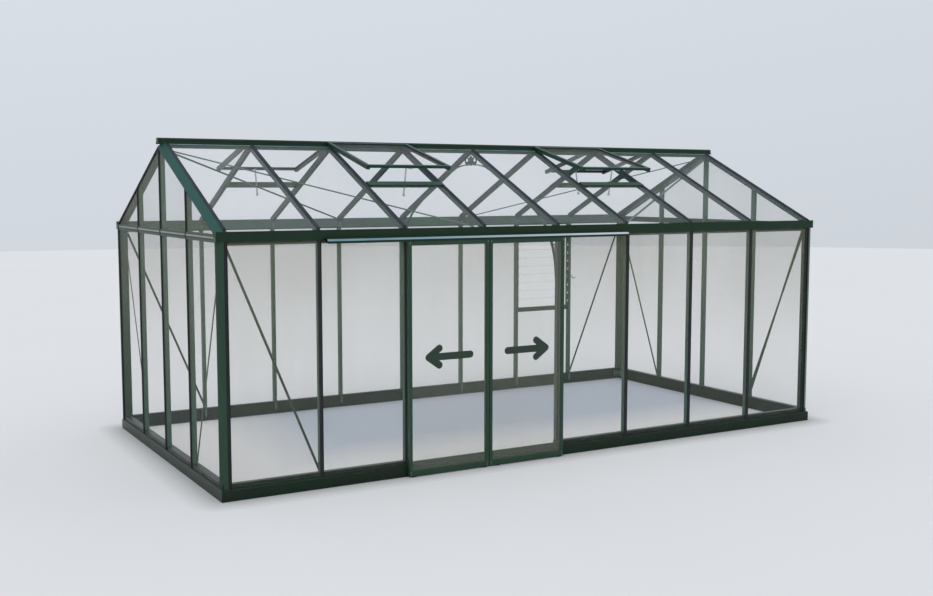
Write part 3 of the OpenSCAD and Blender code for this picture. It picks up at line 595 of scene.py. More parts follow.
def bar(outline, start, end, u, v, cuts=(None, None)):
    """Straight bar. P(a, b, t) = start + t (end - start) + a u + b v, with t = 0 and 1. A cut is a function
    of a and b that slides its end along the bar, so a sloped or pointed end needs no second solid."""
    outline = np.asarray(outline, float)
    start, end, u, v = (np.asarray(c, float) for c in (start, end, u, v))
    along = (end - start) / np.linalg.norm(end - start)
    flat = outline[:, :1] * u + outline[:, 1:] * v
    rings = []
    for place, cut in zip((start, end), cuts):
        slide = np.zeros(len(outline)) if cut is None else cut(outline[:, 0], outline[:, 1])
        rings.append(place + flat + slide[:, None] * along)
    return skin(rings)


def inset(outline, d):
    """Outline drawn in by d. A corner moves by d (m + n) / (1 + m . n), m and n the inward edge normals."""
    edge = np.roll(outline, -1, 0) - outline
    edge /= np.linalg.norm(edge, axis=1, keepdims=True)
    n = np.stack([-edge[:, 1], edge[:, 0]], -1)
    m = np.roll(n, 1, 0)
    return outline + d * (m + n) / (1 + (m * n).sum(1, keepdims=True))


def plate(outline, centre, u, v, thick, ease=0.0006):
    """Plate with eased rims: the outline (a, b) in the plane of u and v, drawn in by ease at the height 0
    and at the full thickness, and whole from ease to thick - ease above the plane."""
    outline = np.asarray(outline, float)
    drawn_in = inset(outline, ease)
    lift = np.cross(u, v)
    layers = [(drawn_in, 0), (outline, ease), (outline, thick - ease), (drawn_in, thick)]
    return skin([centre + flat[:, :1] * u + flat[:, 1:] * v + h * lift for flat, h in layers])


def turned(profile, sides, phase=0.0):
    """Solid of revolution about Z: P(r, h, a) = (r cos a, r sin a, h). Six sides make a hexagon."""
    angle = phase + np.arange(sides) * 2 * math.pi / sides
    circle = np.stack([np.cos(angle), np.sin(angle), np.zeros(sides)], -1)
    return skin([r * circle + h * Z for r, h in profile])


def rounded(width, height, radius, steps=3):
    """Rounded rectangle about the origin: four quarter arcs, each corner centre + radius (cos, sin)."""
    quarter = np.linspace(0, math.pi / 2, steps + 1)
    corners = [(1, 1, 0), (-1, 1, 1), (-1, -1, 2), (1, -1, 3)]
    arcs = []
    for sx, sy, turn in corners:
        a = quarter + turn * math.pi / 2
        centre = np.array([sx * (width / 2 - radius), sy * (height / 2 - radius)])
        arcs.append(centre + radius * np.stack([np.cos(a), np.sin(a)], -1))
    return np.concatenate(arcs)


def join(shapes):
    """One shape of many."""
    offsets = np.cumsum([0] + [len(points) for points, _ in shapes])
    faces = [[int(v) + int(o) for v in f] for (_, part), o in zip(shapes, offsets) for f in part]
    return np.concatenate([points for points, _ in shapes]), faces


def copies(shape, places):
    """Copies of a shape. A place is (origin, u, v, w): a point p goes to origin + px u + py v + pz w."""
    points, faces = shape
    made = []
    for origin, u, v, w in places:
        made.append(outward(np.asarray(origin) + points @ np.stack([u, v, w]), faces))
    return join(made)


def add_piece(name, shape, finish, body="house"):
    """Makes the mesh and its object at the origin, smooth between sharp edges, and ties it to a body."""
    mesh = bpy.data.meshes.new(name)
    mesh.from_pydata(shape[0].tolist(), [], shape[1])
    mesh.validate()
    mesh.shade_smooth()
    mesh.set_sharp_from_angle(angle=math.radians(32))
    mesh.materials.append(finish)
    piece = bpy.data.objects.new(name, mesh)
    scene.collection.objects.link(piece)
    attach(piece, body)
    print(f"{name}: {len(shape[1])} faces on {body}")
    return piece


# %% [markdown]
# ## Glazing strips
#
# A moulded strip clips over each bar and holds two panes by their edges. Its section has a thin lip at
# either side, which seals on the glass, upright flanks and a crown of two low slopes. A superellipse of a
# high power makes the flanks, because it is flat on top and drops all at once at its sides, and a straight
# fall from the middle tilts the two halves of the crown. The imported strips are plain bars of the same
# width, so these stand in for them.

# %% Strip section and wall strips
STRIP_LIP = 0.0012
STRIP_WALL_T = 0.012
STRIP_GABLE_T = 0.009
STRIP_ROOF_T = 0.010
STRIP_LOW = 0.09
STRIP_HIGH = 1.932
DOOR_LINE = 3


def strip_section(width, height):
    """Section (across, off). With t from -1 to 1 over the crown, its height is
    lip + (height - lip) (1 - t^14)^(1/2) (1 - 0.36 |t|)."""
    half = width / 2
    t = np.sin(np.linspace(-1, 1, 21) * math.pi / 2)
    across = (half - STRIP_LIP) * t
    off = STRIP_LIP + (height - STRIP_LIP) * np.sqrt(1 - t**14) * (1 - 0.36 * np.abs(t))
    crown = np.stack([across, off], -1)[1:-1]
    left = [(-half, 0), (-half, STRIP_LIP * 0.6), (-half + 0.0005, STRIP_LIP)]
    right = [(-a, b) for a, b in left[::-1]]
    return np.concatenate([left, crown, right])[::-1]


wall_section = strip_section(BAR, STRIP_WALL_T)
strips = []
for side in (-1, 1):
    for line, x in enumerate(long_lines):
        if side < 0 and line == DOOR_LINE:
            continue
        foot, head = (wall_point(side, x, wall_out, z) for z in (STRIP_LOW, STRIP_HIGH))
        strips.append(bar(wall_section, foot, head, X, side * Y))
piece = add_piece("wall_glazing_strips", join(strips), wall_rubber)
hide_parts("wall_strips")

# %% [markdown]
# A gable has five upright strips and one that follows the slope on either side. The uprights are cut on the
# slope at their heads, and the middle one to a point. The same section serves with a slide at the cut: how
# far the head drops is a function of where the point lies across the strip.

# %% Gable strips
SLOPE_STRIP_N = -0.041
SLOPE_STRIP_GAP = 0.0052
BEAM_IN = bar_back - 0.011
slope_fall = math.tan(SLOPE)
gable_section = strip_section(BAR, STRIP_GABLE_T)
slope_section = rounded(0.010, 0.008, 0.002, 2) + [0, 0.004]


def under_slope_strip(out):
    """Height just under the sloped strip at a distance out from the middle."""
    return ridge_z - abs(out) * slope_fall + (SLOPE_STRIP_N - SLOPE_STRIP_GAP) / math.cos(SLOPE)


strips = []
for end in (-1, 1):
    for line in gable_lines:
        foot = np.array([end * gable_out, house_y + line, STRIP_LOW])
        if abs(line) > BAY * 1.5:
            strips.append(bar(gable_section, foot, foot + Z * (STRIP_HIGH - STRIP_LOW), Y, end * X))
            continue
        head = foot * [1, 1, 0] + Z * under_slope_strip(line)
        lean = np.sign(line)
        if lean:
            cut = lambda a, b, lean=lean: -lean * a * slope_fall
        else:
            cut = lambda a, b: -np.abs(a) * slope_fall
        strips.append(bar(gable_section, foot, head, Y, end * X, cuts=(None, cut)))
    for side in (-1, 1):
        down, off = roof_axes(side)
        reach = [(out - SLOPE_STRIP_N * math.sin(SLOPE)) / math.cos(SLOPE) for out in (0.0, BEAM_IN)]
        ridge_end, eaves_end = (roof_point(side, end * gable_out, s, SLOPE_STRIP_N) for s in reach)
        upright = lambda a, b: -a * slope_fall
        strips.append(bar(slope_section, ridge_end, eaves_end, off, end * X, cuts=(upright, upright)))
piece = add_piece("gable_glazing_strips", join(strips), gable_rubber)
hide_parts("gable_strips")

# %% [markdown]
# The roof bars carry the same strip, a little lower. Both ends are cut upright, square to the ground and
# not to the slope.

# %% Roof strips
ROOF_STRIP_OUT = (0.034, 1.495)
roof_section = strip_section(BAR, STRIP_ROOF_T)
strips = []
for side in (-1, 1):
    down, off = roof_axes(side)
    for x in long_lines:
        ends = [roof_point(side, x, out / math.cos(SLOPE), 0.0001) for out in ROOF_STRIP_OUT]
        upright = lambda a, b: -b * slope_fall
        strips.append(bar(roof_section, *ends, X, off, cuts=(upright, upright)))
piece = add_piece("roof_glazing_strips", join(strips), roof_rubber)
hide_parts("roof_strips")

# %% [markdown]
# ## Extrusion lines
#
# Along both sides of every bar runs a fine raised line, which the die leaves where the wall of the section
# gets thicker. Its coat is a lighter copy of the green, a painted highlight that shows it as a pale thread.
# Each is a low half round, two millimetres wide.

# %% Bar side lines
LINE_W = 0.0024
LINE_H = 0.0007
LINE_DEPTH = 0.016
ROOF_LINE_N = -0.030
ROOF_LINE_SPAN = (0.05, 1.56)  # down the slope
half_bar = BAR / 2
arc = np.linspace(0, math.pi, 7)
line_section = np.stack([LINE_W / 2 * np.cos(arc), LINE_H * np.sin(arc)], -1)
wall_lines = [(-1, x) for n, x in enumerate(long_lines) if 0 < n < 8 and n != DOOR_LINE]
wall_lines += [(1, x) for x in long_lines[1:-1]]
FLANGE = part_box("front_mullions")[0].z
BEAM_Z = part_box("front_mullions")[1].z
threads = []
for side, x in wall_lines:
    for face in (-1, 1):
        foot, head = (
            wall_point(side, x + face * half_bar, bar_back + LINE_DEPTH, z) for z in (FLANGE, BEAM_Z)
        )
        threads.append(bar(line_section, foot, head, Y, face * X))
for side in (-1, 1):
    down, off = roof_axes(side)
    for x in long_lines[1:-1]:
        for face in (-1, 1):
            top, foot = (roof_point(side, x + face * half_bar, s, ROOF_LINE_N) for s in ROOF_LINE_SPAN)
            threads.append(bar(line_section, top, foot, off, face * X))
add_piece("bar_side_lines", join(threads), thread_highlight_green)

# %% [markdown]
# Each gable transom gets a pale strip on its upper half, between the uprights' strips: a painted highlight.

# %% Transom highlight strips
HIGHLIGHT_STRIP_Z = 1.9600
HIGHLIGHT_STRIP_T = 0.0012
STRIP_CLEAR = 0.017
highlight_strip_section = rounded(0.014, HIGHLIGHT_STRIP_T, 0.0004, 2)
transom_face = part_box("gable_transoms")[1].x
edges = [gable_lines[0] + BAR / 2, *gable_lines[1:4], gable_lines[4] - BAR / 2]
highlight_strips = []
for end in (-1, 1):
    for a, b in zip(edges[:-1], edges[1:]):
        face_x = end * (transom_face + HIGHLIGHT_STRIP_T / 2)
        ends = [np.array([face_x, house_y + y, HIGHLIGHT_STRIP_Z]) for y in (a + STRIP_CLEAR, b - STRIP_CLEAR)]
        highlight_strips.append(bar(highlight_strip_section, *ends, Z, end * X))
add_piece("transom_highlight_strips", join(highlight_strips), transom_highlight_coat)

# %% [markdown]
# ## Track nose, drip lip and ridge highlight
#
# The door track ends in a bevel, and a thin strip lies on it whose colour is a painted sky reflection,
# whitening towards +x: the one bright line on the front. A dark lip hangs from the track's front edge,
# before the heads of the doors. A narrow strip under the ridge cap, in the bays that have no vent, is a
# painted highlight of the same bluish kind. All are thin bars with eased rims.

# %% Painted glint strips
TRACK_BEVEL = 0.016
TRACK_NOSE = 0.008
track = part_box("door_track")
track_front = house_y - track[0].y
bevel_low = np.array([track_front, track[0].z + TRACK_NOSE])
bevel_mid = bevel_low + [-TRACK_BEVEL / 2, TRACK_BEVEL / 2]
lie = np.array([0, 1, 1]) / math.sqrt(2)
face_out = np.array([0, -1, 1]) / math.sqrt(2)
track_glint_section = rounded(TRACK_BEVEL * math.sqrt(2) - 0.001, 0.0010, 0.0004, 2) + [0, 0.0006]
track_glint = bar(
    track_glint_section,
    wall_point(-1, track[0].x + 0.001, *bevel_mid),
    wall_point(-1, track[1].x - 0.001, *bevel_mid),
    lie,
    face_out,
)
add_piece("track_glint_strip", track_glint, track_painted_glint)
lip_section = rounded(0.0014, 0.010, 0.0005, 2)
lip_ends = [wall_point(-1, x, track_front - 0.0009, track[0].z - 0.0045) for x in (track[0].x, track[1].x)]
add_piece("track_drip_lip", bar(lip_section, *lip_ends, Y, Z), gutter_shaded_green)

VENT_BAYS = {-1: (2, 5), 1: (1, 6)}  # front and rear, counted from 0 at the left
RIDGE_HIGHLIGHT_OUT = 0.039
RIDGE_HIGHLIGHT_LIFT = 0.0013
ridge_highlight_section = rounded(0.011, 0.0018, 0.0007, 2)
pieces = []
for side, vents in VENT_BAYS.items():
    down, off = roof_axes(side)
    for bay in range(8):
        if bay in vents:
            continue
        s = RIDGE_HIGHLIGHT_OUT / math.cos(SLOPE)
        reach = (long_lines[bay] + STRIP_CLEAR, long_lines[bay + 1] - STRIP_CLEAR)
        a, b = (roof_point(side, x, s, RIDGE_HIGHLIGHT_LIFT) for x in reach)
        pieces.append(bar(ridge_highlight_section, a, b, down, off))
add_piece("ridge_highlight_strips", join(pieces), ridge_painted_highlight)

# %% [markdown]
# ## Bolts, cleats and corner brackets
#
# Every bar ends on something. Joggled cleats hold the uprights to the base and to the eaves beam, brackets
# tie the base at its corners, and each brace is bolted at both ends. A bolt is two turned solids, a washer
# and a hexagon whose rim is chamfered, made once and copied, so that it stays a few dozen faces.

# %% Bolt shapes
def bolt(size):
    """Washer of sixteen sides and a six-sided head, standing on the plane z = 0."""
    washer = turned([(size * 1.08, 0), (size * 1.08, 0.0012), (size * 1.0, 0.0016)], 16)
    head = turned([(size * 0.92, 0.0012), (size * 0.92, 0.0048), (size * 0.74, 0.0058)], 6)
    return join([washer, head])


def pan_screw(size):
    """Low domed head: radius size cos(a) at the height 0.55 size sin(a)."""
    a = np.linspace(0, 1.35, 6)
    return turned(np.stack([size * np.cos(a), 0.55 * size * np.sin(a)], -1), 14)


bolt_8 = bolt(0.0085)
bolt_6 = bolt(0.0065)
screw_4 = pan_screw(0.0042)

# %% [markdown]
# A cleat is a joggled strip. Its side view is drawn once, as a height for each distance out, and carried
# across its width. One cleat stands on the sill behind each bar, and one hangs from the eaves beam.

# %% Cleats on walls
JOG = [(0.0, 0.040), (-0.003, 0.040), (-0.003, 0.124), (0.003, 0.131), (0.003, 0.190), (0.006, 0.190),
       (0.006, 0.129), (0.0, 0.122)]
EAVES_JOG = [(0.011, 1.850), (0.008, 1.850), (0.008, 1.904), (-0.003, 1.912), (-0.003, 1.985), (0.0, 1.985),
             (0.0, 1.916), (0.011, 1.907)]
CLEAT_W = 0.024
SILL_D = 0.073
sill_in = sill_out - SILL_D
cleats, bolts = [], []
for side, x in wall_lines:
    for section, out in ((JOG, sill_in), (EAVES_JOG, BEAM_IN)):
        section = np.array(section)
        ends = [wall_point(side, x + e * CLEAT_W / 2, out, 0) for e in (-1, 1)]
        cleats.append(bar(section, *ends, side * Y, Z))
    for out, z in ((sill_in - 0.003, 0.062), (sill_in - 0.003, 0.100), (sill_in + 0.003, 0.160),
                   (BEAM_IN + 0.008, 1.875), (BEAM_IN - 0.003, 1.950)):
        bolts.append((wall_point(side, x, out, z), X, Z, -side * Y))
add_piece("wall_cleats", join(cleats), inside_lit_green)
add_piece("wall_cleat_bolts", copies(bolt_6, bolts), zinc)

# %% [markdown]
# The base corners get an angle bracket inside: two plates that meet in the mitre, four bolts in all.

# %% Base corner brackets
ARM = 0.070
BRACKET_H = 0.070
BRACKET_T = 0.003
BRACKET_Z = 0.062
bracket_face = rounded(ARM, BRACKET_H, 0.006)
brackets, bolts = [], []
corner_in_x = sill_x - SILL_D
for side in (-1, 1):
    for end in (-1, 1):
        corner = wall_point(side, end * corner_in_x, sill_in, BRACKET_Z)
        for sill_run, inward, reach in ((X, -side * Y, -end), (Y, -end * X, -side)):
            middle = corner + sill_run * reach * (ARM / 2 + 0.004)
            brackets.append(plate(bracket_face, middle, np.cross(Z, inward), Z, BRACKET_T))
            for shift in (-0.018, 0.018):
                bolts.append((middle + sill_run * shift + BRACKET_T * inward, sill_run, Z, inward))
add_piece("base_corner_brackets", join(brackets), inside_lit_green)
add_piece("base_corner_bolts", copies(bolt_8, bolts), zinc)

# %% [markdown]
# The braces are flat bars, so a bolt sits a little in from each end. The ends are those of the packed
# braces.

# %% Brace bolts
BRACE_T = 0.004
BOLT_BACK = 0.016
WALL_BRACE = np.array([[2.953, 1.912], [2.223, 0.130]])
GABLE_BRACE = np.array([[1.458, 1.895], [0.742, 0.139]])
ROOF_BRACE = np.array([[2.950, 0.060], [0.795, 1.570]])
ROOF_BRACE_N = -0.048


def bolt_places(ends):
    """The two points of a brace that lie BOLT_BACK in from its ends."""
    run = (ends[1] - ends[0]) / np.linalg.norm(ends[1] - ends[0])
    return [ends[0] + BOLT_BACK * run, ends[1] - BOLT_BACK * run]


brace_ends = []
for side in (-1, 1):
    down, off = roof_axes(side)
    for end in (-1, 1):
        for x, z in bolt_places(WALL_BRACE):
            brace_ends.append((wall_point(side, end * x, bar_back - BRACE_T, z), X, Z, -side * Y))
        for out, z in bolt_places(GABLE_BRACE):
            brace_ends.append((wall_point(side, end * (gable_bar_back - BRACE_T), out, z), Y, Z, -end * X))
        for x, s in bolt_places(ROOF_BRACE):
            brace_ends.append((roof_point(side, end * x, s, ROOF_BRACE_N), X, down, -off))
add_piece("brace_bolts", copies(bolt_8, brace_ends), zinc)

# %% [markdown]
# ## Gutter ends
#
# Each gutter is closed by a cap that laps over its end and is held by two screws. The cap follows the
# gutter's own section, level along the foot and cut on the slope at its head.

# %% Gutter end caps
CAP_T = 0.0018
CAP_EDGE = 0.003
CAP_FOOT = 0.074
RAFTER_D = 0.036
SCREW_IN, SCREW_DROP = 0.016, 0.052
gutter_out = 1.525
gutter_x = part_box("front_gutter")[1].x
caps, screws = [], []
for side in (-1, 1):
    section = np.array([
        (BEAM_IN, eaves_z - CAP_FOOT),
        (gutter_out, eaves_z - CAP_FOOT),
        (gutter_out, ridge_z - gutter_out * slope_fall - RAFTER_D / math.cos(SLOPE)),
        (BEAM_IN, ridge_z - BEAM_IN * slope_fall - RAFTER_D / math.cos(SLOPE)),
    ])
    for end in (-1, 1):
        inner_face = gutter_x if side == end else gutter_x + CAP_T
        at_end = wall_point(side, end * inner_face, 0, 0)
        caps.append(plate(inset(section, CAP_EDGE), at_end, side * Y, Z, CAP_T))
        for out in (BEAM_IN + SCREW_IN, gutter_out - SCREW_IN):
            at_screw = wall_point(side, end * (gutter_x + CAP_T), out, eaves_z - SCREW_DROP)
            screws.append((at_screw, Y, Z, end * X))
add_piece("gutter_end_caps", join(caps), gutter_shaded_green)
add_piece("gutter_cap_screws", copies(screw_4, screws), zinc)

# %% [markdown]
# ## Vent stays and glazing beads
#
# A peg stay is a flat bar with a row of holes, and it hangs from the free edge of its vent. A bar with
# holes can be cut with a boolean, but a ring of points that runs from a square to a circle gives the same
# shape with even, clean faces: P(angle, t) = (1 - t) square(angle) + t circle(angle). One such cell per
# hole makes the whole bar.

# %% Peg stays
def pierced_cell(width, length, hole, thick):
    """Block with a round hole: 16 points on a rectangle and 16 on a circle, front and back, in four skins."""
    angle = np.arange(16) * 2 * math.pi / 16 + math.pi / 16
    circle = np.stack([np.cos(angle), np.sin(angle)], -1)
    square = circle / np.abs(circle).max(1, keepdims=True)
    rims = [(square * [width / 2, length / 2], thick / 2), (square * [width / 2, length / 2], -thick / 2),
            (circle * hole / 2, -thick / 2), (circle * hole / 2, thick / 2)]
    points = np.concatenate([np.column_stack([flat, np.full(16, h)]) for flat, h in rims])
    i, j = np.meshgrid(np.arange(4), np.arange(16), indexing="ij")
    n = (j + 1) % 16
    after = (i + 1) % 4
    faces = np.stack([i * 16 + j, i * 16 + n, after * 16 + n, after * 16 + j], -1).reshape(-1, 4).tolist()
    return outward(points, faces)


STAY_TOP = np.array([0.7545, 2.504])
STAY_FOOT = np.array([0.7025, 2.265])
STAY_W, STAY_T, STAY_HOLE, STAY_HOLES = 0.014, 0.004, 0.0075, 11
KNOB_UP = 0.004
STAY_SHIFT = {-1: 0.022, 1: -0.064}
STAY_BRACKET = [(0.750, 2.496), (0.8590, 2.4855), (0.8590, 2.4890), (0.756, 2.5015), (0.750, 2.5035)]
STAY_BRACKET_W = 0.026
VENT_SLOPE = math.radians(14.7)
VENT_HINGE = np.array([0.026, 2.723])
VENT_LONG, VENT_LAP, VENT_BAR = 0.866, 0.032, 0.030


def vent_point(side, x, l, m=0.0):
    """Hinge + l along the open vent + m above its middle plane."""
    out = VENT_HINGE[0] + l * math.cos(VENT_SLOPE) + m * math.sin(VENT_SLOPE)
    return wall_point(side, x, out, VENT_HINGE[1] - l * math.sin(VENT_SLOPE) + m * math.cos(VENT_SLOPE))


stay_run = np.linalg.norm(STAY_FOOT - STAY_TOP)
cell = pierced_cell(STAY_W, stay_run / STAY_HOLES * 0.999, STAY_HOLE, STAY_T)  # a hair apart
knob = turned([(0.003, 0), (0.0075, 0.002), (0.009, 0.006), (0.0075, 0.010), (0.003, 0.012)], 20)
cells, knobs, brackets = [], [], []
for side, vents in VENT_BAYS.items():
    for bay in vents:
        x = long_lines[bay] + BAY / 2 + STAY_SHIFT[side]
        top, foot = (wall_point(side, x, *p) for p in (STAY_TOP, STAY_FOOT))
        run = (foot - top) / stay_run
        flat = np.cross(run, X)
        for t in (np.arange(STAY_HOLES) + 0.5) / STAY_HOLES:
            cells.append((top + t * (foot - top), X, run, flat))
        for face in (-1, 1):
            knobs.append((foot + face * STAY_T / 2 * flat + KNOB_UP * run, X, run, face * flat))
        hook = [wall_point(side, x + e * STAY_BRACKET_W / 2, 0, 0) for e in (-1, 1)]
        brackets.append(bar(STAY_BRACKET, *hook, side * Y, Z))
stay_shape = join([copies(cell, cells), copies(knob, knobs), join(brackets)])
piece = add_piece("vent_stay_bars", stay_shape, rolled_metal)
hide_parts("vent_stays")

# %% [markdown]
# A quarter-round bead seals each vent's pane to its frame, and another one seals the pane of each door. It
# is the same section both times, so one function lays it round a rectangle, given by its middle and its two
# half sides.

# %% Glazing beads
def bead_frame(middle, u, v, lift, size):
    """Four quarter-round bars round a rectangle with the half sides u and v, their round faces inwards."""
    arc = np.linspace(0, math.pi / 2, 5)
    quarter = np.concatenate([[(0, 0)], size * np.stack([np.cos(arc), np.sin(arc)], -1)])
    runs = [(middle - u, v, u), (middle + u, v, -u), (middle - v, u, v), (middle + v, u, -v)]
    shapes = []
    for place, half, inwards in runs:
        shapes.append(bar(quarter, place - half, place + half, inwards / np.linalg.norm(inwards), lift))
    return join(shapes)


BEAD = 0.005
PANE_FACE = 0.0022  # from the middle of a vent's pane
beads = []
for side, vents in VENT_BAYS.items():
    for bay in vents:
        x = long_lines[bay] + BAY / 2
        for face in (-1, 1):
            middle = vent_point(side, x, VENT_LONG / 2, face * PANE_FACE)
            far = vent_point(side, x, VENT_LONG - VENT_BAR - 0.001, face * PANE_FACE)
            lift = vent_point(side, x, 0.1, face) - vent_point(side, x, 0.1)
            half = (BAY / 2 + VENT_LAP - VENT_BAR - 0.0005) * X
            beads.append(bead_frame(middle, half, far - middle, lift, BEAD))
add_piece("vent_glazing_beads", join(beads), bead_rubber)

DOORS = ("door_left", "door_right")
BEAD_GAP = 0.0002
for door in DOORS:
    low, high = (np.array(c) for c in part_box(door + "_glass"))
    middle = (low + high) / 2
    u, v = X * (high - low)[0] / 2, Z * (high - low)[2] / 2
    front = bead_frame(middle * [1, 0, 1] + Y * (low[1] - BEAD_GAP), u, v, -Y, BEAD)
    back = bead_frame(middle * [1, 0, 1] + Y * (high[1] + BEAD_GAP), u, v, Y, BEAD * 1.4)
    add_piece(door + "_glazing_beads", join([front, back]), door_bead, body=door)

# %% [markdown]
# ## Seals on the walls
#
# Under the eaves a rubber seal closes the gap between each pane and the beam. It shows as a thin dull band
# along the head of the glass. Each is a soft bulb: a rounded bar, three millimetres thick.

# %% Head seals
OPEN_BAYS = {-1: (2, 3), 1: (6,)}  # the doors' bays in front and the louvre's behind
SEAL_CLEAR, SEAL_BACK, SEAL_DROP = 0.018, 0.002, 0.0072
bulb = rounded(0.014, 0.003, 0.0014)
seals = []
for side in (-1, 1):
    for bay, x in enumerate(long_lines[:-1]):
        if bay in OPEN_BAYS[side]:
            continue
        reach = (x + SEAL_CLEAR, x + BAY - SEAL_CLEAR)
        ends = [wall_point(side, x, wall_out - GLASS - SEAL_BACK, BEAM_Z - SEAL_DROP) for x in reach]
        seals.append(bar(bulb, *ends, Z, Y))
add_piece("head_seals", join(seals), seal_rubber)

# %% [markdown]
# ## Louvre clips
#
# The glass blades sit in moulded clips, one at each end of each blade, along both jambs. Each clip is a
# rounded plate with a raised boss.

# %% Louvre clips
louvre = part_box("louvre_frame")
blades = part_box("louvre_blades")
BLADE_COUNT = 10
BLADE_HALF = 0.0521
CLIP_OUT, CLIP_T = 0.007, 0.005
clip_out = louvre[0].y - house_y
clip_face = rounded(0.012, 0.026, 0.004)
clips, bosses = [], []
for x in (blades[0].x - CLIP_OUT, blades[1].x + CLIP_OUT):
    for z in np.linspace(blades[0].z + BLADE_HALF, blades[1].z - BLADE_HALF, BLADE_COUNT):
        place = wall_point(1, x, clip_out, z)
        clips.append(plate(clip_face, place, X, Z, CLIP_T, 0.001))
        bosses.append((place - CLIP_T * Y, X, Z, -Y))
boss = turned([(0.0045, 0), (0.0042, 0.002), (0.0028, 0.003)], 12)
add_piece("louvre_clips", join([join(clips), copies(boss, bosses)]), clip_plastic)

# %% [markdown]
# ## What the doors carry
#
# Each sliding leaf has an arrow on its glass that shows which way it opens, screws at its corners and, on
# the meeting stile, a brush that keeps the draught out. The arrow is three fat strokes with round ends that
# meet at its tip. Seen from the tip, the outline of their union is a single function of the angle: the ray
# leaves each stroke somewhere, and the farthest of the three is the edge. So a polar grid about the tip
# makes it in one go, with no boolean.

# %% Door arrows
def arrow_outline(strokes, r):
    """Edge of a union of strokes that share the origin. For a stroke of length L and half width r, at the
    angle f from its direction, the ray leaves the side at r / |sin f|, or the round end at
    L cos f + (r^2 - L^2 sin^2 f)^(1/2), or, facing away, the start at r. The edge is the largest of them."""
    heading = [math.atan2(b, a) for a, b in strokes]
    length = np.hypot(*np.array(strokes).T)
    fine = [h + np.linspace(-1.6, 1.6, 61) * math.atan2(r, l) for h, l in zip(heading, length)]
    angle = np.concatenate([np.linspace(0, 2 * math.pi, 97)[:-1], *fine])
    angle = np.unique(np.mod(angle, 2 * math.pi).round(5))
    reach = np.full(len(angle), r)
    for h, l in zip(heading, length):
        sine, cosine = np.sin(angle - h), np.cos(angle - h)
        side = r / np.maximum(np.abs(sine), 1e-6)
        cap = l * cosine + np.sqrt(np.maximum(r**2 - (l * sine) ** 2, 0))
        leaves = np.where(side * cosine <= l, side, cap)
        reach = np.maximum(reach, np.where(cosine > 0, leaves, r))
    return reach[:, None] * np.stack([np.cos(angle), np.sin(angle)], -1)


STROKE = 0.0300
VINYL_T = 0.0006
ARROWS = {  # tip, end of the shaft and end of the upper barb: x and height of their middles
    "door_left": ((-1.3090, 0.9645), (-0.9220, 0.9645), (-1.2120, 1.0330)),
    "door_right": ((-0.1750, 0.9675), (-0.5590, 0.9675), (-0.2740, 1.0385)),
}
for door, (tip, tail, barb) in ARROWS.items():
    tip, tail, barb = map(np.array, (tip, tail, barb))
    outline = arrow_outline([tail - tip, barb - tip, (barb - tip) * [1, -1]], STROKE)
    face_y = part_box(door + "_glass")[0].y - 0.0001
    layers = [(1.0, 0.0), (1.0, VINYL_T * 0.7), (0.985, VINYL_T)]
    rings = []
    for k, h in layers:
        x, z = (tip + k * outline).T
        rings.append(np.column_stack([x, np.full(len(x), face_y - h), z]))
    add_piece(door + "_arrow", skin(rings), vinyl, body=door)

# %% [markdown]
# The leaves are screwed together at their corners. The brush fills the gap where they meet, and the shoes
# on the ground keep their feet from swinging.

# %% Door screws, brush and guide shoes
STILE = 0.026
for door in DOORS:
    low, high = (np.array(c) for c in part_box(door + "_frame"))
    screws = []
    for x in (low[0] + STILE / 2, high[0] - STILE / 2):
        for z in (low[2] + 0.012, low[2] + 0.032, high[2] - 0.010, high[2] - 0.022):
            screws.append((np.array([x, low[1], z]), X, Z, -Y))
    add_piece(door + "_screws", copies(screw_4, screws), zinc, body=door)

low, high = (np.array(c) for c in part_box("door_left_frame"))
BRUSH_W = 0.0036
BRUSH_END = 0.004
brush_section = rounded(BRUSH_W, 0.009, 0.0015, 2)
foot = np.array([high[0] + BRUSH_W / 2, (low[1] + high[1]) / 2, low[2] + BRUSH_END])
brush = bar(brush_section, foot, foot + Z * (high[2] - low[2] - 2 * BRUSH_END), X, Y)
add_piece("door_meeting_brush", brush, pile, body="door_left")

SHOE_T = 0.0062
SHOE_EASE = 0.0012
shoe_face = rounded(0.046, 0.034, 0.006)
SHOE_X = (-1.45, -0.79, -0.66, -0.03)
shoe_y = low[1] + 0.014
shoe_feet = [np.array([x, shoe_y, SHOE_EASE]) for x in SHOE_X]
shoes = [plate(shoe_face, foot, X, Y, SHOE_T, SHOE_EASE) for foot in shoe_feet]
add_piece("door_guide_shoes", join(shoes), bead_rubber)

# %% [markdown]
# ## Rosettes on the middle frame
#
# The arch under the ridge carries a small palmette between two rings, and cast rosettes cover their feet on
# either face. A rosette's height is h (1 - (r/R)^2) (1 + 0.3 cos 8 angle): a low dome pressed into eight
# petals, drawn on a polar grid.

# %% Rosettes
PETALS = 8
ROSETTE_R = 0.020
ROSETTE_H = 0.006
ring = np.linspace(1, 0.06, 7)[:, None] * ROSETTE_R
angle = np.linspace(0, 2 * math.pi, 48, endpoint=False)[None, :]
edge_r = ring * (1 + 0.08 * np.cos(PETALS * angle))
high = ROSETTE_H * (1 - (ring / ROSETTE_R) ** 2) * (1 + 0.3 * np.cos(PETALS * angle)) + 0.001
rosette_rings = np.stack([edge_r * np.cos(angle), edge_r * np.sin(angle), high], -1)
rosette = skin(np.concatenate([rosette_rings[:1] * [1, 1, 0], rosette_rings]))
ARCH_RING_OUT = 0.0704
ARCH_FACE = 0.006
ARCH_BAND_Z = 2.558
places = []
for face in (-1, 1):
    for out in (-ARCH_RING_OUT, 0.0, ARCH_RING_OUT):
        places.append((np.array([face * ARCH_FACE, house_y + out, ARCH_BAND_Z]), Y, Z, face * X))
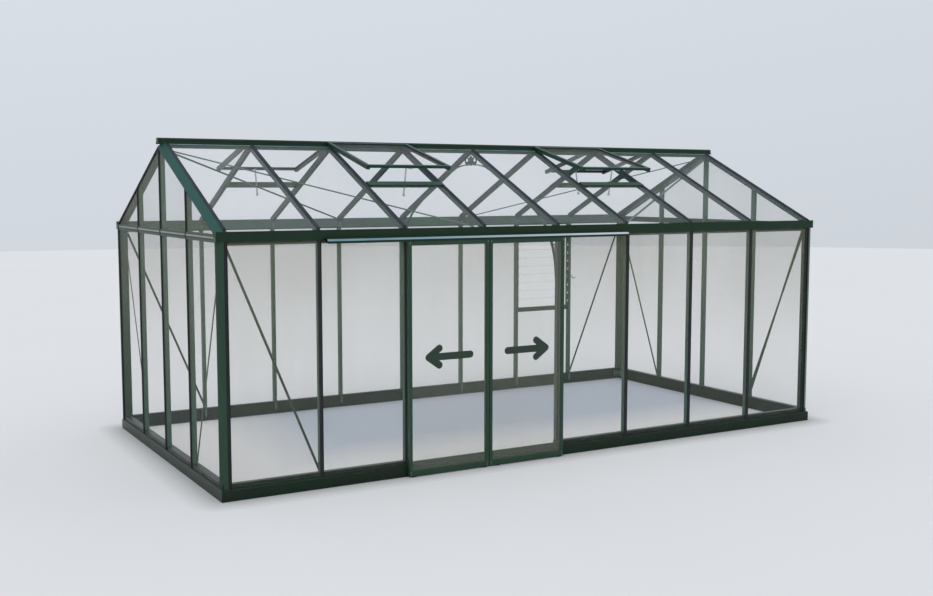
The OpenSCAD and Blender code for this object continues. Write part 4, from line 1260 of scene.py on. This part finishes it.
add_piece("arch_rosettes", copies(rosette, places), inside_lit_green)

# %% [markdown]
# ## Light, sky and ground
#
# The house stands on a pale floor under an even, overcast sky. The light is plain: a white world and one
# very soft sun add up to about 1 on level ground, so a colour renders about as it is written. What the
# camera, the gloss and the glass see behind the house is a separate, painted sky, a pale blue that darkens
# towards the horizon and a little to the right.

# %% World and sun
world = bpy.data.worlds.new("overcast sky")
scene.world = world
world.use_nodes = True
sky = world.node_tree
sky.nodes.clear()
direction = node(sky, "ShaderNodeTexCoord").outputs["Generated"]
up = node(sky, "ShaderNodeSeparateXYZ", {0: direction}).outputs[2]
tint = mix_colour(sky, ramp(sky, up, -0.05, 0.15), linear(208, 213.5, 220.5), linear(215, 220.5, 228))
right = (math.cos(CAMERA_YAW), math.sin(CAMERA_YAW), 0)
darker = maths(sky, "MULTIPLY_ADD", dot(sky, direction, right), -0.05, 1.0)
tint = mix_colour(sky, 1.0, tint, darker, "MULTIPLY")
painted = node(sky, "ShaderNodeBackground", {"Color": tint, "Strength": 1.0}).outputs[0]
lighting = node(sky, "ShaderNodeBackground", {"Color": (0.97, 0.985, 1.0, 1.0), "Strength": 0.92}).outputs[0]
rays = node(sky, "ShaderNodeLightPath").outputs
mirrored = maths(sky, "MAXIMUM", rays["Is Glossy Ray"], rays["Is Transmission Ray"])
seen = maths(sky, "MAXIMUM", rays["Is Camera Ray"], mirrored)
mixed = node(sky, "ShaderNodeMixShader", {0: seen, 1: lighting, 2: painted}).outputs[0]
node(sky, "ShaderNodeOutputWorld", {"Surface": mixed})

sun_data = bpy.data.lights.new("soft sun", "SUN")
sun_data.energy = 0.58
sun_data.angle = math.radians(70)
sun_data.color = (1.0, 0.985, 0.96)
sun = bpy.data.objects.new("soft sun", sun_data)
sun.rotation_euler = (math.radians(38), 0, math.radians(-38))
scene.collection.objects.link(sun)
scene.cycles.transparent_max_bounces = 24
print("world and sun are set")

# %% [markdown]
# The floor is a wide disc. Its far rim is the horizon: a camera 2.3 m up sees a rim 46 m away about three
# degrees below level. A disc is a polar grid, radius by angle, closed at the middle by one polygon. Under
# the roof the floor's colour carries painted light and shade: painted daylight along the front and the left
# end, a cooler painted shade behind, and a painted contact shadow close to the sill, all the way round.

# %% Floor
def polar_disc(centre, radius, rings, spokes):
    """Disc grid: P(r, a) = centre + r (cos a, sin a, 0), and ring n of N lies at r = radius (n / N)^2."""
    r = radius * (np.arange(1, rings + 1) / rings) ** 2
    a = np.linspace(0, 2 * math.pi, spokes, endpoint=False)
    rr, aa = np.meshgrid(r, a, indexing="ij")
    points = centre + np.stack([rr * np.cos(aa), rr * np.sin(aa), np.zeros_like(rr)], -1)
    i, j = np.meshgrid(np.arange(rings - 1), np.arange(spokes), indexing="ij")
    k = (j + 1) % spokes
    quads = np.stack([i * spokes + j, (i + 1) * spokes + j, (i + 1) * spokes + k, i * spokes + k], -1)
    return points.reshape(-1, 3), [list(range(spokes))] + quads.reshape(-1, 4).tolist()


FLOOR_CENTRE = (-3.26, -10.9, 0.0)
FLOOR_R = 46.0
points, faces = polar_disc(FLOOR_CENTRE, FLOOR_R, 12, 128)
floor_mesh = bpy.data.meshes.new("floor")
floor_mesh.from_pydata(points.tolist(), [], faces)
floor = bpy.data.objects.new("floor", floor_mesh)
scene.collection.objects.link(floor)
floor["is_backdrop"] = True
ground = bpy.data.materials.new("pale ground")
ground.use_nodes = True
tree = ground.node_tree
spot = node(tree, "ShaderNodeTexCoord").outputs["Object"]
soft = noise(tree, spot, 0.35, 2.0)
colour = mix_colour(tree, soft, linear(217, 219.5, 223), linear(220, 222, 225))
across, deep, _ = node(tree, "ShaderNodeSeparateXYZ", {0: spot}).outputs
from_middle = maths(tree, "ABSOLUTE", maths(tree, "ADD", deep, -house_y))
from_centre = maths(tree, "ABSOLUTE", across)
under_roof = [ramp(tree, from_centre, 2.99, 2.93), ramp(tree, from_middle, 1.49, 1.43)]
under_glass = maths(tree, "MULTIPLY", *under_roof)
# Painted light and shade under the roof: bright along the front and the left end, cooler and darker behind.
painted_daylight_in = maths(tree, "MAXIMUM", ramp(tree, deep, -0.10, -0.85), ramp(tree, across, -1.40, -2.30))
painted_indoor_light = mix_colour(tree, painted_daylight_in, linear(213, 222, 235), linear(253, 254, 255))
colour = mix_colour(tree, under_glass, colour, painted_indoor_light)
past_end = maths(tree, "MAXIMUM", maths(tree, "ADD", from_centre, -sill_x), 0.0)
past_side = maths(tree, "MAXIMUM", maths(tree, "ADD", from_middle, -sill_out), 0.0)
past_end, past_side = (maths(tree, "POWER", d, 2.0) for d in (past_end, past_side))
away = maths(tree, "SQRT", maths(tree, "ADD", past_end, past_side))
# Painted contact shadow: the floor darkens close to the sill, all the way round.
CONTACT_SHADOW_FAR, CONTACT_SHADOW_NEAR, CONTACT_SHADOW_SHARE = 0.25, 0.03, 0.28
painted_contact_shadow = maths(tree, "MULTIPLY_ADD", ramp(tree, away, CONTACT_SHADOW_FAR, CONTACT_SHADOW_NEAR), -CONTACT_SHADOW_SHARE, 1.0)
colour = mix_colour(tree, 1.0, colour, painted_contact_shadow, "MULTIPLY")
shader = tree.nodes["Principled BSDF"]
tree.links.new(colour, shader.inputs["Base Color"])
shader.inputs["Roughness"].default_value = 1.0
shader.inputs["Specular IOR Level"].default_value = 0.0
floor_mesh.materials.append(ground)
print("floor of", len(faces), "faces")

# %% [markdown]
# ## The size of what is shown
#
# The looks must not change the dimensions, so the script prints the box of what is shown.

# %% Size of what is shown
low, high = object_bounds()
print("visual box", [tuple(round(c, 3) for c in corner) for corner in (low, high)])
